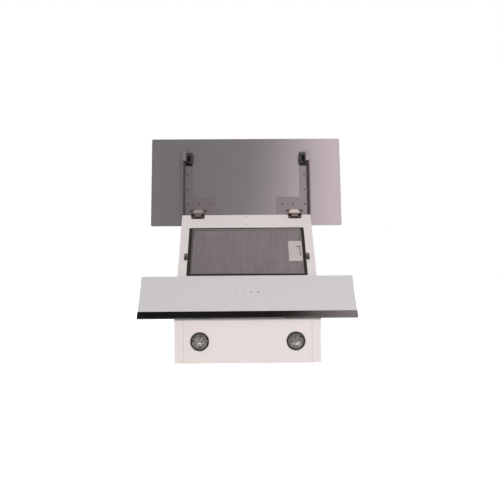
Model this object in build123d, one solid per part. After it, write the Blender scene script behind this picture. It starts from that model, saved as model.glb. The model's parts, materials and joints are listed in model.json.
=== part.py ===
from build123d import *
import os
from math import asin, cos, degrees, radians, sin, sqrt

os.makedirs("parts", exist_ok=True)

# Angled range hood, in millimetres, as it hangs on a wall.
# X runs to the right, the wall is the plane Y = 0, the room is on the -Y side and Z is up.
# The origin is midway between the two upper wall screws, on the wall.
# Body places are given as (x, forward from the wall, height above the bottom face).
# Face places are given as (x, s up the inclined face from its lower edge, k out from the face).

# Body
body_width = 400.0
body_height = 244.3
bottom_depth = 119.0
face_tilt = 39.5
mount_height = 200.0
sheet = 1.0
bend_radius = 0.8
bottom_flange = 24.0
side_flange = 15.0
top_lip = 18.0
hem = 10.0
fold_gap = 0.2

# Filter opening and filter
opening_side_band = 25.0
opening_height = 183.0
band_above_filter = 52.3
opening_corner = 3.0
seat_depth = 12.0
seat_ledge = 12.0
seal_end_width = 7.0
seal_side_width = 9.2
seal_recess = 0.8
filter_clearance = 0.3
filter_recess = 1.5
filter_sheet = 0.8
filter_lip = 3.0
filter_corner = 1.5
mesh_sheet = 0.45
mesh_columns = 24
mesh_rows = 11
mesh_strand = 2.4
mesh_gap = 0.05
rear_mesh_columns = 10
rear_mesh_rows = 5
core_sheet = 0.5
core_pitch = 12.0

# Filter latch
latch_plate_width = 40.0
latch_plate_height = 77.0
latch_plate_corner = 1.5
window_width = 12.4
window_height = 37.0
window_inset = 5.2
window_corner = 1.2
window_lap = 1.5
well_reach = 24.0
lever_width = 16.4
lever_thickness = 1.8
lever_gap = 0.25
grip_inset = 1.6
grip_width = 1.6
grip_length = 24.0
bolt_width = 11.0
bolt_thickness = 1.5
bolt_grip = 3.0
bolt_nose = 0.8
spring_strip = 0.4
spring_end_inset = 6.0
spring_play = 0.1

# Glass
glass_width = 596.0
glass_thickness = 4.0
glass_standoff = 16.0
glass_corner = 4.0
glass_arris = 0.4
flap_length = 280.5
flap_overhang = 34.0
glass_gap = 4.0
lower_glass_overhang = 6.0
flap_travel = 149.0

# Trim along the bottom of the lower glass
trim_front = 21.0
trim_back = 12.0
trim_wall = 1.0
trim_round = 1.6

# Touch module and brackets behind the lower glass
module_width = 150.0
module_height = 54.0
module_depth = 12.0
module_rise = 60.0
module_corner = 4.0
module_step = 3.0
module_step_inset = 9.0
module_ear_radius = 4.5
module_ear_reach = 5.0
module_ear_sheet = 2.0
module_ear_hole = 1.6
rail_inset = 50.0
rail_length = 100.0
rail_flange = 18.0
rail_sheet = 1.5
rail_rise = 23.0

# Flap hinges
hinge_inset = 49.5
hinge_width = 41.0
hinge_below_top = 1.0
hinge_standoff = 4.4
knuckle_radius = 3.2
pin_radius = 1.5
running_gap = 0.05
knuckle_gap = 0.3
middle_knuckle = 19.0
leaf_sheet = 1.5
body_leaf_length = 15.0
flap_leaf_length = 17.0
leaf_ear = 6.5
ear_length = 7.0
ear_screw_inset = 3.2
ear_corner = 3.0
ear_step = 1.0
cap_sheet = 0.8
cap_length = 12.5
cap_narrow = 26.0
cap_step = 0.6
rivet_inset = 5.4
leaf_rivet_rise = 5.4
leaf_rivet_height = 1.2
ear_screw_height = 1.4
pin_head_gap = 0.1
pin_head = 1.0
leaf_corner = 3.0

# Flap brackets and catches
bracket_sheet = 1.5
bracket_foot = 97.0
bracket_foot_length = 56.5
bracket_arm = 24.0
bracket_inset = 8.0
bracket_above_axis = 10.0
bracket_below_catch = 34.0
bracket_fillet = 4.0
flange_lean = 9.5
flange_clear = 3.0
flange_notch = 0.5
flange_notch_top = 10.5
flange_bend = 0.4
tab_width = 13.0
tab_length = 33.0
stud_inset = 20.0
catch_reach = 171.0
ball_radius = 3.5
ball_height = 10.0
stud_neck = 1.8
stud_base = 4.8
stud_base_height = 3.0
stud_edge = 0.5
stud_shank = 6.0
clip_width = 21.0
clip_length = 37.5
clip_standoff = 4.5
clip_inner_offset = 1.5
clip_offset = 8.75
clip_corner = 2.5
clip_bow = 2.5
clip_slant_run = 17.5
clip_slant_rise = 6.2
clip_draft = 4.0
clip_foot_sheet = 2.0
clip_foot_drop = 3.0
clip_foot_inset = 2.5
mouth_length = 22.5
mouth_radius = 4.6
mouth_offset = 7.25
jaw_slit = 1.2
jaw_slit_reach = 7.0
bracket_rivet_radius = 1.5
bracket_rivet_head = 2.6
bracket_rivet_height = 1.0
arm_rivet_pitch = 47.5
foot_rivet_inset = 18.0
foot_rivet_pitch = 34.0

# Lamps
lamp_inset = 69.0
lamp_front_inset = 59.0
bezel_radius = 25.7
bezel_width = 3.0
bezel_drop = 1.6
bezel_round = 0.9
lamp_hole_radius = 24.6
lamp_tube_wall = 1.0
lamp_tube_height = 12.0
lens_thickness = 1.6
lens_gap = 0.2
lens_seat = 0.5
lens_play = 0.1
dish_depth = 13.0
dish_wall = 0.8
dish_rim = 0.6
dish_steps = ((0.9, 0.35), (0.65, 0.75))
dish_shoulder = 0.985
dish_slant_wall = 1.2
bulb_radius = 4.5
bulb_rise = 4.0
bulb_hole_gap = 1.5
can_wall = 0.8
can_height = 26.0
holder_width = 16.0
holder_depth = 10.0
holder_height = 6.0

# Blower
duct_radius = 59.5
duct_wall = 2.0
duct_height = 60.0
duct_setback = 99.0
duct_root = 1.5
duct_lead = 1.0
duct_lead_depth = 0.8
collar_flange = 72.0
collar_flange_thickness = 2.0
volute_radius = 68.0
volute_growth = 7.0
volute_width = 116.0
volute_wall = 2.0
throat_height = 8.0
joint_flange = 4.0
joint_sheet = 1.5
lug_radius = 5.0
lug_offset = 3.5
lug_hole = 1.7
joint_screw = 1.5
joint_screw_head = 3.0
joint_screw_height = 1.6
adapter_height = 24.0
adapter_flange = 1.5
adapter_flange_radius = 66.0
adapter_corner = 6.0
inlet_radius = 50.0
bell_radius = 4.0
impeller_radius = 58.0
impeller_inner = 47.0
impeller_width = 94.0
impeller_disc = 2.0
impeller_ring = 3.0
ring_width = 4.0
ring_lap = 0.6
blade_count = 30
blade_thickness = 1.0
blade_bow = 3.2
blade_rise = 7.0
hub_radius = 11.0
hub_length = 22.0
shaft_radius = 4.0
shaft_length = 46.0
motor_radius = 34.0
motor_length = 42.0
motor_gap = 5.0
motor_fins = 8
motor_fin_height = 2.0
motor_fin_sheet = 2.0
motor_bore_wall = 4.0
shaft_nose = 2.0
cradle_sheet = 2.0
cradle_hub = 18.0
cradle_arm = 10.0
cradle_ring = 4.0
cradle_arms = 4
cradle_arm_inset = 1.0
blower_strap_width = 70.0
blower_strap_height = 46.0
strap_sheet = 1.5

# Backdraft dampers
damper_height = 8.0
damper_gap = 1.2
damper_sheet = 1.2
damper_pin_radius = 1.5
damper_sleeve = 3.0
damper_sleeve_inset = 4.0
damper_pin_offset = 5.0
damper_ledge = 1.5
damper_ledge_height = 2.0
damper_ledge_gap = 0.1

# Control box, capacitor and gland
box_side_gap = 18.0
box_width = 100.0
box_depth = 44.0
box_drop = 55.0
box_tall = 92.0
box_wall = 1.5
box_lid_lip = 6.0
box_lid_round = 1.2
capacitor_radius = 17.0
capacitor_length = 62.0
capacitor_inset = 50.0
capacitor_drop = 62.0
capacitor_gap = 3.0
capacitor_clip_drop = 10.0
capacitor_round = 2.0
capacitor_base_width = 24.0
spade_width = 6.0
spade_sheet = 0.8
spade_height = 8.0
terminal_width = 44.0
terminal_depth = 18.0
terminal_height = 18.0
terminal_rise = 12.0
terminal_pitch = 11.0
terminal_count = 4
terminal_hole = 2.2
gland_inset = 50.0
gland_setback = 40.0
gland_bore = 4.0
gland_nut = 11.0
gland_nut_height = 5.0
gland_lock_height = 4.0
gland_body = 8.0
gland_height = 14.0
gland_tail = 6.0
gland_round = 2.5
gland_sheet_gap = 0.1

# Wall fixing and casing screws
upper_screw_spacing = 300.0
upper_hole_radius = 4.0
lower_screw_inset = 30.0
lower_hole_radius = 3.0
lower_hole_rise = 30.0
screw_shank = 1.8
screw_head = 3.6
screw_head_height = 2.0
screw_hole_gap = 0.1
screw_reach = 5.0
band_screw_head = 1.9
band_screw_shank = 1.1
band_screw_height = 0.5
band_screw_drops = (8.0, 40.0)

# Worked out from the driving sizes
half_body = body_width / 2
opening_width = body_width - 2 * opening_side_band
hinge_x = half_body - hinge_inset
bracket_outer = half_body - bracket_inset
stud_x = half_body - stud_inset
rail_x = half_body - rail_inset
lamp_x = half_body - lamp_inset
lamp_setback = bottom_depth - lamp_front_inset
lamp_tube_outer = lamp_hole_radius - screw_hole_gap
lower_screw_x = half_body - lower_screw_inset
gland_x = half_body - gland_inset
capacitor_x = capacitor_inset - half_body
capacitor_rise = body_height - capacitor_drop - capacitor_length
box_right = half_body - box_side_gap
box_left = box_right - box_width
box_rise = body_height - box_drop - box_tall
tilt = radians(face_tilt)
face_length = body_height / sin(tilt)
axis_s = face_length - hinge_below_top
opening_top = face_length - band_above_filter
opening_bottom = opening_top - opening_height
opening_mid = opening_bottom + opening_height / 2
flap_low = axis_s + flap_overhang - flap_length
lower_glass_top = flap_low - glass_gap
lower_glass_low = -lower_glass_overhang
lower_glass_length = lower_glass_top - lower_glass_low
glass_face = glass_standoff + glass_thickness
catch_s = axis_s - catch_reach
panel_top = body_height - sheet
frame_width = opening_width - 2 * seal_side_width - 2 * filter_clearance
frame_height = opening_height - 2 * seal_end_width - 2 * filter_clearance
frame_rear = -seat_depth + screw_hole_gap
plate_top = -filter_recess
mesh_top = -filter_recess - filter_sheet - mesh_gap
plate_under = plate_top - filter_sheet
plate_right = frame_width / 2 - filter_sheet - fold_gap
window_right = plate_right - window_inset
well_right = window_right
well_left = well_right - well_reach
well_height = window_height + 2 * window_lap
lever_top = plate_under - lever_gap
lever_right = well_right - lever_gap
lever_left = lever_right - lever_width
bolt_top = lever_top - lever_thickness
bolt_low = bolt_top - bolt_thickness
well_floor = bolt_low - lever_gap
clip_s = catch_s - clip_offset
mouth_s = catch_s - mouth_offset

out_y = -sin(tilt)
out_z = -cos(tilt)
side_x = (-1, 1)


def body_box(x0, x1, f0, f1, z0, z1):
    middle = Pos((x0 + x1) / 2, -(f0 + f1) / 2, (z0 + z1) / 2 - mount_height)
    return middle * Box(x1 - x0, f1 - f0, z1 - z0)


def body_post(radius, x, forward, z0, z1):
    middle = Pos(x, -forward, (z0 + z1) / 2 - mount_height)
    return middle * Cylinder(radius, z1 - z0)


def body_bar(radius, x0, x1, forward, height):
    """A round bar along X."""
    middle = Pos((x0 + x1) / 2, -forward, height - mount_height)
    return middle * Rot(0, 90, 0) * Cylinder(radius, x1 - x0)


def wall_pin(radius, x, f0, f1, height):
    """A round bar that points out from the wall."""
    middle = Pos(x, -(f0 + f1) / 2, height - mount_height)
    return middle * Rot(90, 0, 0) * Cylinder(radius, f1 - f0)


def side_plane(x):
    """A plane across X whose own axes are forward from the wall and up. It extrudes towards -X."""
    return Plane(origin=(x, 0, -mount_height), x_dir=(0, -1, 0), z_dir=(-1, 0, 0))


def front_at(height, k=0.0):
    """How far forward the inclined face is at a height, k outside it."""
    return bottom_depth + (k + height * cos(tilt)) / sin(tilt)


def face_plane(k=0.0):
    origin = (0, -bottom_depth + k * out_y, -mount_height + k * out_z)
    return Plane(origin=origin, x_dir=(1, 0, 0), z_dir=(0, out_y, out_z))


def face_point(x, s, k):
    return (face_plane().location * Pos(x, s, k)).position


def face_box(x0, x1, s0, s1, k0, k1):
    middle = Pos((x0 + x1) / 2, (s0 + s1) / 2, (k0 + k1) / 2)
    return face_plane().location * middle * Box(x1 - x0, s1 - s0, k1 - k0)


def face_post(radius, x, s, k0, k1):
    return face_plane().location * Pos(x, s, (k0 + k1) / 2) * Cylinder(radius, k1 - k0)


def face_plate(outline, k0, k1):
    """An outline drawn in x and s, given thickness from k0 out to k1."""
    return extrude(face_plane(k0) * outline, k1 - k0)


def face_profile(outline, x0, x1):
    """An outline drawn in s and k, run along X."""
    origin = face_point(x0, 0, 0)
    plane = Plane(origin=origin, x_dir=(0, -cos(tilt), sin(tilt)), z_dir=(1, 0, 0))
    return extrude(plane * outline, x1 - x0)


def face_strip(outline, s_top, s_bottom):
    """An outline drawn in x and k, run down the face."""
    origin = face_point(0, s_top, 0)
    plane = Plane(origin=origin, x_dir=(1, 0, 0), z_dir=(0, cos(tilt), -sin(tilt)))
    return extrude(plane * outline, s_top - s_bottom)


def ring_of(width, height, inset, corner=0.0):
    """A rectangular frame outline round the filter's middle."""
    centre = Pos(0, opening_mid)
    inner_corner = max(corner - inset, 0.5)
    outer = RectangleRounded(width, height, max(corner, 0.5))
    inner = RectangleRounded(width - 2 * inset, height - 2 * inset, inner_corner)
    return centre * (outer - inner)


def opened(shape):
    """Swing a piece of the closed flap up to where the flap stands fully open."""
    return shape.rotate(Axis(face_point(0, axis_s, hinge_standoff), (1, 0, 0)), -flap_travel)


def mirrored(shape):
    return mirror(shape, about=Plane.YZ)


def both_sides(shape):
    return Part() + [shape, mirrored(shape)]


def dome_head(radius, height):
    """A low round head standing on z = 0."""
    sphere_radius = (radius ** 2 + height ** 2) / (2 * height)
    cap = Pos(0, 0, height - sphere_radius) * Sphere(sphere_radius)
    return cap & (Pos(0, 0, height / 2) * Cylinder(radius, height))


def screw(shank, reach, head, head_height):
    """A round-headed screw that points down from z = 0."""
    return dome_head(head, head_height) + Pos(0, 0, -reach / 2) * Cylinder(shank, reach)


def face_screw(x, s, k, shank, reach, head, head_height):
    return face_plane().location * Pos(x, s, k) * screw(shank, reach, head, head_height)


def under_face_screw(x, s, k, shank, reach, head, head_height):
    """A screw on the closed flap, whose head looks at the body."""
    turned = Rot(180, 0, 0) * screw(shank, reach, head, head_height)
    return face_plane().location * Pos(x, s, k) * turned


# Where the casing screws stand on the top panel: x and forward from the wall
top_front = front_at(panel_top - sheet)
top_screw_forwards = (side_flange, top_front / 2, top_front - 2 * side_flange)
top_screw_x = half_body - side_flange / 2
top_screw_places = [(side * top_screw_x, forward) for side in side_x for forward in top_screw_forwards]


def top_screw_holes():
    radius = screw_shank + screw_hole_gap
    depth = screw_reach + sheet
    low = panel_top - depth
    return [body_post(radius, x, forward, low, panel_top + sheet) for x, forward in top_screw_places]


def side_panel():
    """The right side: a plate with flanges folded in along all four edges."""
    top = panel_top - sheet
    corners = [(sheet, 0), (front_at(0, -sheet), 0), (front_at(top, -sheet), top), (sheet, top)]
    outline = make_face(Polyline(*corners, close=True))
    inner = offset(outline, -sheet, kind=Kind.INTERSECTION)
    panel = extrude(side_plane(half_body) * outline, sheet)
    panel += extrude(side_plane(half_body) * (outline - inner), side_flange)
    panel += body_box(half_body - bottom_flange, half_body, sheet, front_at(0, -sheet), 0, sheet)
    outer_face = panel.faces().sort_by(Axis.X)[-1]
    panel = fillet(outer_face.edges(), bend_radius)
    for hole in top_screw_holes():
        panel -= hole
    return panel


def back_panel():
    """The wall side, with the hanging holes and a hem along its top and bottom."""
    top = panel_top - sheet
    inner = half_body - side_flange - fold_gap
    panel = body_box(-half_body, half_body, 0, sheet, 0, top)
    panel += body_box(-inner, inner, 0, sheet + hem, top - sheet, top)
    for side in side_x:
        x = side * upper_screw_spacing / 2
        panel -= wall_pin(upper_hole_radius, x, -sheet, 3 * sheet, mount_height)
        x = side * lower_screw_x
        panel -= wall_pin(lower_hole_radius, x, -sheet, 3 * sheet, lower_hole_rise)
    return panel


def top_panel():
    """The flat top, with the air outlet and the cable gland's hole."""
    low = panel_top - sheet
    panel = body_box(-half_body, half_body, 0, front_at(low, -sheet), low, panel_top)
    panel -= body_post(duct_radius - duct_wall, 0, duct_setback, 0, 2 * body_height)
    panel -= body_post(gland_body + gland_sheet_gap, gland_x, gland_setback, 0, 2 * body_height)
    for hole in top_screw_holes():
        panel -= hole
    return panel


def front_frame():
    """The inclined front: a plate with the filter opening, its seat, and a lip over the top panel."""
    plate = face_box(-half_body, half_body, 0, face_length + top_lip, -sheet, 0)
    lip_back = front_at(body_height) - top_lip
    lip = body_box(-half_body, half_body, lip_back, front_at(body_height), panel_top, body_height)
    lip -= face_box(-body_width, body_width, 0, 2 * face_length, 0, top_lip)
    above = body_box(-body_width, body_width, 0, 2 * body_width, body_height, 2 * body_height)
    frame = (plate - above) + lip
    opening = Pos(0, opening_mid) * RectangleRounded(opening_width, opening_height, opening_corner)
    frame -= face_plate(opening, -2 * sheet, sheet)
    wall_width = opening_width + 2 * sheet
    wall_height = opening_height + 2 * sheet
    wall_corner = opening_corner + sheet
    frame += face_plate(ring_of(wall_width, wall_height, sheet, wall_corner), -seat_depth - sheet, -sheet)
    ledge = ring_of(wall_width, wall_height, seat_ledge, wall_corner)
    frame += face_plate(ledge, -seat_depth - sheet, -seat_depth)
    frame -= bolt_passage(half_body)
    for side in side_x:
        x = side * stud_x
        frame -= face_post(stud_neck + screw_hole_gap, x, catch_s, -2 * sheet, sheet)
        for x in leaf_rivet_places(side):
            frame -= face_post(bracket_rivet_radius + screw_hole_gap, x, leaf_rivet_s, -2 * sheet, sheet)
    for drop in band_screw_drops:
        frame -= face_post(band_screw_shank + screw_hole_gap, 0, face_length - drop, -2 * sheet, sheet)
    return frame


def light_panel():
    """The bottom sheet between the side flanges, with two lamp holes and a lip behind the front."""
    half = half_body - sheet - fold_gap
    inner_half = half_body - side_flange - fold_gap
    panel = Part()
    for reach, setback in ((half, 2 * sheet + fold_gap), (inner_half, sheet + fold_gap)):
        plate = body_box(-reach, reach, setback, front_at(2 * sheet), sheet, 2 * sheet)
        panel += plate - face_box(-reach, reach, -bottom_depth, bottom_depth, -setback, bottom_depth)
    lip_front = -sheet - fold_gap
    lip = face_box(-inner_half, inner_half, 0, side_flange, lip_front - sheet, lip_front)
    panel += lip - body_box(-half, half, 0, 2 * bottom_depth, -sheet, sheet)
    for side in side_x:
        panel -= body_post(lamp_hole_radius, side * lamp_x, lamp_setback, -sheet, 3 * sheet)
    return panel


def bolt_passage(x_end):
    """The room that the latch bolt needs through whatever it crosses."""
    half = bolt_width / 2 + lever_gap
    s0 = opening_mid - half
    s1 = opening_mid + half
    return face_box(well_right - sheet, x_end, s0, s1, well_floor, bolt_top + lever_gap)


def filter_gasket():
    """The foam ring round the filter, wider at its sides than at its ends."""
    ring = RectangleRounded(opening_width - 2 * fold_gap, opening_height - 2 * fold_gap, opening_corner)
    ring -= Rectangle(opening_width - 2 * seal_side_width, opening_height - 2 * seal_end_width)
    seal = face_plate(Pos(0, opening_mid) * ring, -seat_depth, -seal_recess)
    return seal - bolt_passage(half_body)


def filter_frame():
    """A folded channel round the filter: outer wall, front lip and rear lip."""
    wall = ring_of(frame_width, frame_height, filter_sheet, filter_corner)
    lip = ring_of(frame_width, frame_height, filter_lip, filter_corner)
    frame = face_plate(wall, frame_rear, plate_top)
    frame += face_plate(lip, plate_top - filter_sheet, plate_top)
    frame += face_plate(lip, frame_rear, frame_rear + filter_sheet)
    half = latch_plate_height / 2 + fold_gap
    s0 = opening_mid - half
    s1 = opening_mid + half
    frame -= face_box(plate_right - 2 * filter_lip, plate_right + fold_gap, s0, s1, plate_under, 0)
    return frame - bolt_passage(half_body)


def expanded_sheet(columns, rows, strand, k0, k1):
    """A sheet slit and stretched into diamonds that stand in staggered rows."""
    width = frame_width - 2 * filter_sheet - 2 * filter_clearance
    height = frame_height - 2 * filter_sheet - 2 * filter_clearance
    border = filter_lip
    pitch_x = (width - 2 * border) / (columns + 0.5)
    pitch_s = (height - 2 * border) / rows
    half_x = (pitch_x - strand * 0.6) / 2
    half_s = (pitch_s - strand * 0.6) / 2
    diamond = make_face(Polyline((-half_x, 0), (0, -half_s), (half_x, 0), (0, half_s), close=True))
    places = []
    for row in range(rows):
        shift = 0.5 * (row % 2)
        for column in range(columns):
            x = -width / 2 + border + (column + 0.5 + shift) * pitch_x
            s = opening_mid - height / 2 + border + (row + 0.5) * pitch_s
            places.append(Pos(x, s))
    outline = Pos(0, opening_mid) * Rectangle(width, height)
    outline -= [place * diamond for place in places]
    return face_plate(outline, k0, k1)


def latch_room(margin, k0, k1):
    return face_box(
        well_left - margin,
        plate_right + fold_gap,
        opening_mid - well_height / 2 - margin,
        opening_mid + well_height / 2 + margin,
        k0,
        k1,
    )


def filter_front_mesh():
    mesh = expanded_sheet(mesh_columns, mesh_rows, mesh_strand, mesh_top - mesh_sheet, mesh_top)
    return mesh - latch_room(2 * sheet, -seat_depth, 0)


def filter_back_mesh():
    low = frame_rear + filter_sheet + mesh_gap
    return expanded_sheet(rear_mesh_columns, rear_mesh_rows, 2 * mesh_strand, low, low + mesh_sheet)


def filter_core():
    """The corrugated foil between the meshes, cut away round the latch."""
    width = frame_width - 2 * filter_sheet - 4 * filter_clearance
    height = frame_height - 2 * filter_sheet - 4 * filter_clearance
    low = frame_rear + filter_sheet + 2 * mesh_sheet
    high = mesh_top - 2 * mesh_sheet - core_sheet
    count = int(width / core_pitch)
    pitch = width / count
    upper = []
    for step in range(2 * count + 1):
        level = high if step % 2 else low
        upper.append((-width / 2 + step * pitch / 2, level + core_sheet))
    lower = [(x, k - core_sheet) for x, k in reversed(upper)]
    outline = make_face(Polyline(*upper, *lower, close=True))
    core = face_strip(outline, opening_mid + height / 2, opening_mid - height / 2)
    return core - latch_room(2.5 * sheet, -seat_depth - sheet, 0)


def latch_plate():
    """The grip plate on the filter's right end, with a window over the lever's well."""
    centre = Pos(plate_right - latch_plate_width / 2, opening_mid)
    outline = centre * RectangleRounded(latch_plate_width, latch_plate_height, latch_plate_corner)
    plate = face_plate(outline, plate_under, plate_top)
    well_centre = Pos((well_left + well_right) / 2, opening_mid)
    outer_corner = window_corner + filter_sheet
    outer_width = well_reach + 2 * filter_sheet
    outer = RectangleRounded(outer_width, well_height + 2 * filter_sheet, outer_corner)
    inner = RectangleRounded(well_reach, well_height, window_corner)
    plate += face_plate(well_centre * outer, well_floor - filter_sheet, plate_under)
    plate -= face_plate(well_centre * inner, well_floor, plate_under)
    window = RectangleRounded(window_width, window_height, window_corner)
    window = Pos(window_right - window_width / 2, opening_mid) * window
    plate -= face_plate(window, plate_under - sheet, plate_top + sheet)
    return plate - bolt_passage(plate_right + sheet)


def latch_lever():
    """The slide: a thumb pad behind the window, its grip, and the bolt that enters the seat wall."""
    height = well_height - 2 * lever_gap
    centre = Pos(lever_right - lever_width / 2, opening_mid)
    pad = face_plate(centre * RectangleRounded(lever_width, height, window_corner), bolt_top, lever_top)
    grip_right = lever_right - grip_inset
    s0 = opening_mid - grip_length / 2
    s1 = opening_mid + grip_length / 2
    pad += face_box(grip_right - grip_width, grip_right, s0, s1, lever_top, plate_top - lever_gap)
    bolt_end = opening_width / 2 + bolt_grip
    half = bolt_width / 2
    bolt = face_box(lever_left, bolt_end, opening_mid - half, opening_mid + half, bolt_low, bolt_top)
    along_s = Axis(face_point(0, 0, 0), (0, -cos(tilt), sin(tilt)))
    nose = bolt.edges().filter_by(along_s).sort_by(Axis.X)[-1]
    return pad + chamfer(nose, bolt_nose)


def latch_spring():
    """A bowed strip that pushes the lever to the right."""
    wall = well_left + spring_play
    crown = lever_left - spring_play
    reach = well_height / 2 - spring_end_inset
    inner_reach = reach - 3 * spring_strip
    mid = opening_mid
    outer = ThreePointArc((wall, mid - reach), (crown, mid), (wall, mid + reach))
    inner = ThreePointArc((wall, mid + inner_reach), (crown - spring_strip, mid), (wall, mid - inner_reach))
    ends = [Line(outer @ 1, inner @ 0), Line(inner @ 1, outer @ 0)]
    outline = make_face(Curve() + [outer, inner] + ends)
    return face_plate(outline, bolt_top, lever_top)


def catch_studs():
    """Ball studs on the front frame: hexagon base, neck, ball and a shank through the sheet."""
    hexagon = extrude(RegularPolygon(stud_base, 6), stud_base_height)
    neck_height = ball_height - stud_base_height
    neck = Pos(0, 0, stud_base_height + neck_height / 2) * Cylinder(stud_neck, neck_height)
    ball = Pos(0, 0, ball_height) * Sphere(ball_radius)
    shank = Pos(0, 0, -stud_shank / 2) * Cylinder(stud_neck, stud_shank)
    stud = chamfer(hexagon.faces().sort_by(Axis.Z)[-1].edges(), stud_edge) + neck + ball + shank
    return both_sides(face_plane().location * Pos(stud_x, catch_s, 0) * stud)


def glass_sheet(length, s_low):
    outline = Pos(0, s_low + length / 2) * RectangleRounded(glass_width, length, glass_corner)
    sheet_of_glass = face_plate(outline, glass_standoff, glass_face)
    faces = sheet_of_glass.faces().sort_by(Axis(face_point(0, 0, 0), (0, out_y, out_z)))
    return chamfer(faces[-1].edges() + faces[0].edges(), glass_arris)


def lower_edge_trim():
    """A folded channel that caps the bottom edge of the lower glass, higher in front than behind."""
    low = lower_glass_low - trim_wall
    back = glass_standoff - trim_wall - fold_gap
    front = glass_face + trim_wall + fold_gap
    outer = Pos(low + trim_front / 2, (back + front) / 2) * Rectangle(trim_front, front - back)
    slot_depth = front - back - 2 * trim_wall
    slot = Pos(low + trim_wall + trim_front / 2, (back + front) / 2) * Rectangle(trim_front, slot_depth)
    rear_cut = Pos(low + trim_back + trim_front / 2, back) * Rectangle(trim_front, 2 * (trim_wall + fold_gap))
    outline = outer - slot - rear_cut
    corners = outline.vertices().sort_by(Axis.X)[:2]
    outline = fillet(corners, trim_round)
    return face_profile(outline, -glass_width / 2, glass_width / 2)


def lower_glass_rail():
    """A Z-shaped rail that carries the lower glass off the front frame."""
    x = rail_x
    s0 = lower_glass_low + rail_rise
    s1 = s0 + rail_length
    web = x + rail_sheet
    rail = face_box(x, x + rail_flange, s0, s1, 0, rail_sheet)
    rail += face_box(x, web, s0, s1, 0, glass_standoff)
    rail += face_box(web - rail_flange, web, s0, s1, glass_standoff - rail_sheet, glass_standoff)
    return rail


def touch_module():
    """The sealed box behind the touch marks, with a stepped back and a screw ear at each end."""
    mid = lower_glass_low + module_rise + module_height / 2
    back = glass_standoff - module_depth
    step = back + module_step
    outline = Pos(0, mid) * RectangleRounded(module_width, module_height, module_corner)
    module = face_plate(outline, step, glass_standoff)
    step_width = module_width - 2 * module_step_inset
    step_height = module_height - 2 * module_step_inset
    module += face_plate(Pos(0, mid) * RectangleRounded(step_width, step_height, module_corner), back, step)
    ear_x = module_width / 2 + module_ear_reach
    ear_low = glass_standoff - module_ear_sheet
    ears = SlotOverall(2 * (ear_x + module_ear_radius), 2 * module_ear_radius)
    module += face_plate(Pos(0, mid) * ears, ear_low, glass_standoff)
    for side in side_x:
        module -= face_post(module_ear_hole, side * ear_x, mid, 0, glass_standoff + sheet)
    return module


leaf_rivet_s = axis_s - body_leaf_length + leaf_rivet_rise
ear_screw_s = axis_s - flap_leaf_length + ear_step + ear_length / 2


def leaf_rivet_places(side):
    half = hinge_width / 2 - rivet_inset
    return [side * (hinge_x - half), side * (hinge_x + half)]


def barrel(radius, x0, x1):
    """A round bar along the hinge axis."""
    middle = Pos((x0 + x1) / 2, axis_s, hinge_standoff)
    return face_plane().location * middle * Rot(0, 90, 0) * Cylinder(radius, x1 - x0)


def body_leaf():
    """The hinge leaf riveted to the front frame, with a knuckle at each end."""
    half = hinge_width / 2
    middle = middle_knuckle / 2 + knuckle_gap
    outline = Pos(hinge_x, axis_s - body_leaf_length / 2) * Rectangle(hinge_width, body_leaf_length)
    low_corners = outline.vertices().sort_by(Axis.Y)[:2]
    leaf = face_plate(chamfer(low_corners, leaf_corner), 0, leaf_sheet)
    relief = knuckle_radius + leaf_sheet
    low_s = axis_s - relief
    leaf -= face_box(hinge_x - middle, hinge_x + middle, low_s, axis_s + relief, -sheet, leaf_sheet + sheet)
    for x0, x1 in ((hinge_x - half, hinge_x - middle), (hinge_x + middle, hinge_x + half)):
        leaf += barrel(knuckle_radius, x0, x1)
        leaf += face_box(x0, x1, axis_s - knuckle_radius, axis_s, 0, hinge_standoff)
    leaf -= barrel(pin_radius + running_gap, hinge_x - hinge_width, hinge_x + hinge_width)
    for x in leaf_rivet_places(1):
        leaf -= face_post(bracket_rivet_radius + screw_hole_gap, x, leaf_rivet_s, -sheet, 2 * leaf_sheet)
    return leaf


def bracket_face():
    """The side of the closed flap's brackets that looks at the body."""
    return glass_standoff - bracket_sheet


def flap_leaf():
    """The hinge leaf screwed to the flap bracket: a plate with ears, a riser and the middle knuckle."""
    half = hinge_width / 2
    high = bracket_face()
    low = high - leaf_sheet
    edge = axis_s - knuckle_radius + leaf_sheet
    far = axis_s - flap_leaf_length
    leaf = face_box(hinge_x - half, hinge_x + half, far, edge, low, high)
    ears = RectangleRounded(hinge_width + 2 * leaf_ear, ear_length, ear_corner)
    leaf += face_plate(Pos(hinge_x, ear_screw_s) * ears, low, high)
    leaf += face_box(hinge_x - half, hinge_x + half, edge - leaf_sheet, edge, 2 * hinge_standoff, high)
    neck = middle_knuckle / 2
    leaf += face_box(hinge_x - neck, hinge_x + neck, edge - leaf_sheet, edge, hinge_standoff, high)
    leaf += barrel(knuckle_radius, hinge_x - neck, hinge_x + neck)
    leaf -= barrel(pin_radius + running_gap, hinge_x - hinge_width, hinge_x + hinge_width)
    for x in ear_screw_places():
        leaf -= face_post(bracket_rivet_radius + screw_hole_gap, x, ear_screw_s, 0, glass_standoff)
    return leaf


def hinge_caps():
    """Bright cover plates on the flap leaves, narrower towards their free ends."""
    high = bracket_face() - leaf_sheet
    wide_s = axis_s - knuckle_radius - cap_step
    far_s = wide_s - cap_length
    wide = hinge_width / 2
    narrow = cap_narrow / 2
    corners = [
        (hinge_x - wide, wide_s),
        (hinge_x + wide, wide_s),
        (hinge_x + narrow, far_s),
        (hinge_x - narrow, far_s),
    ]
    outline = make_face(Polyline(*corners, close=True))
    return both_sides(face_plate(outline, high - cap_sheet, high))


def ear_screw_places():
    reach = hinge_width / 2 + leaf_ear - ear_screw_inset
    return (hinge_x - reach, hinge_x + reach)





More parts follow.
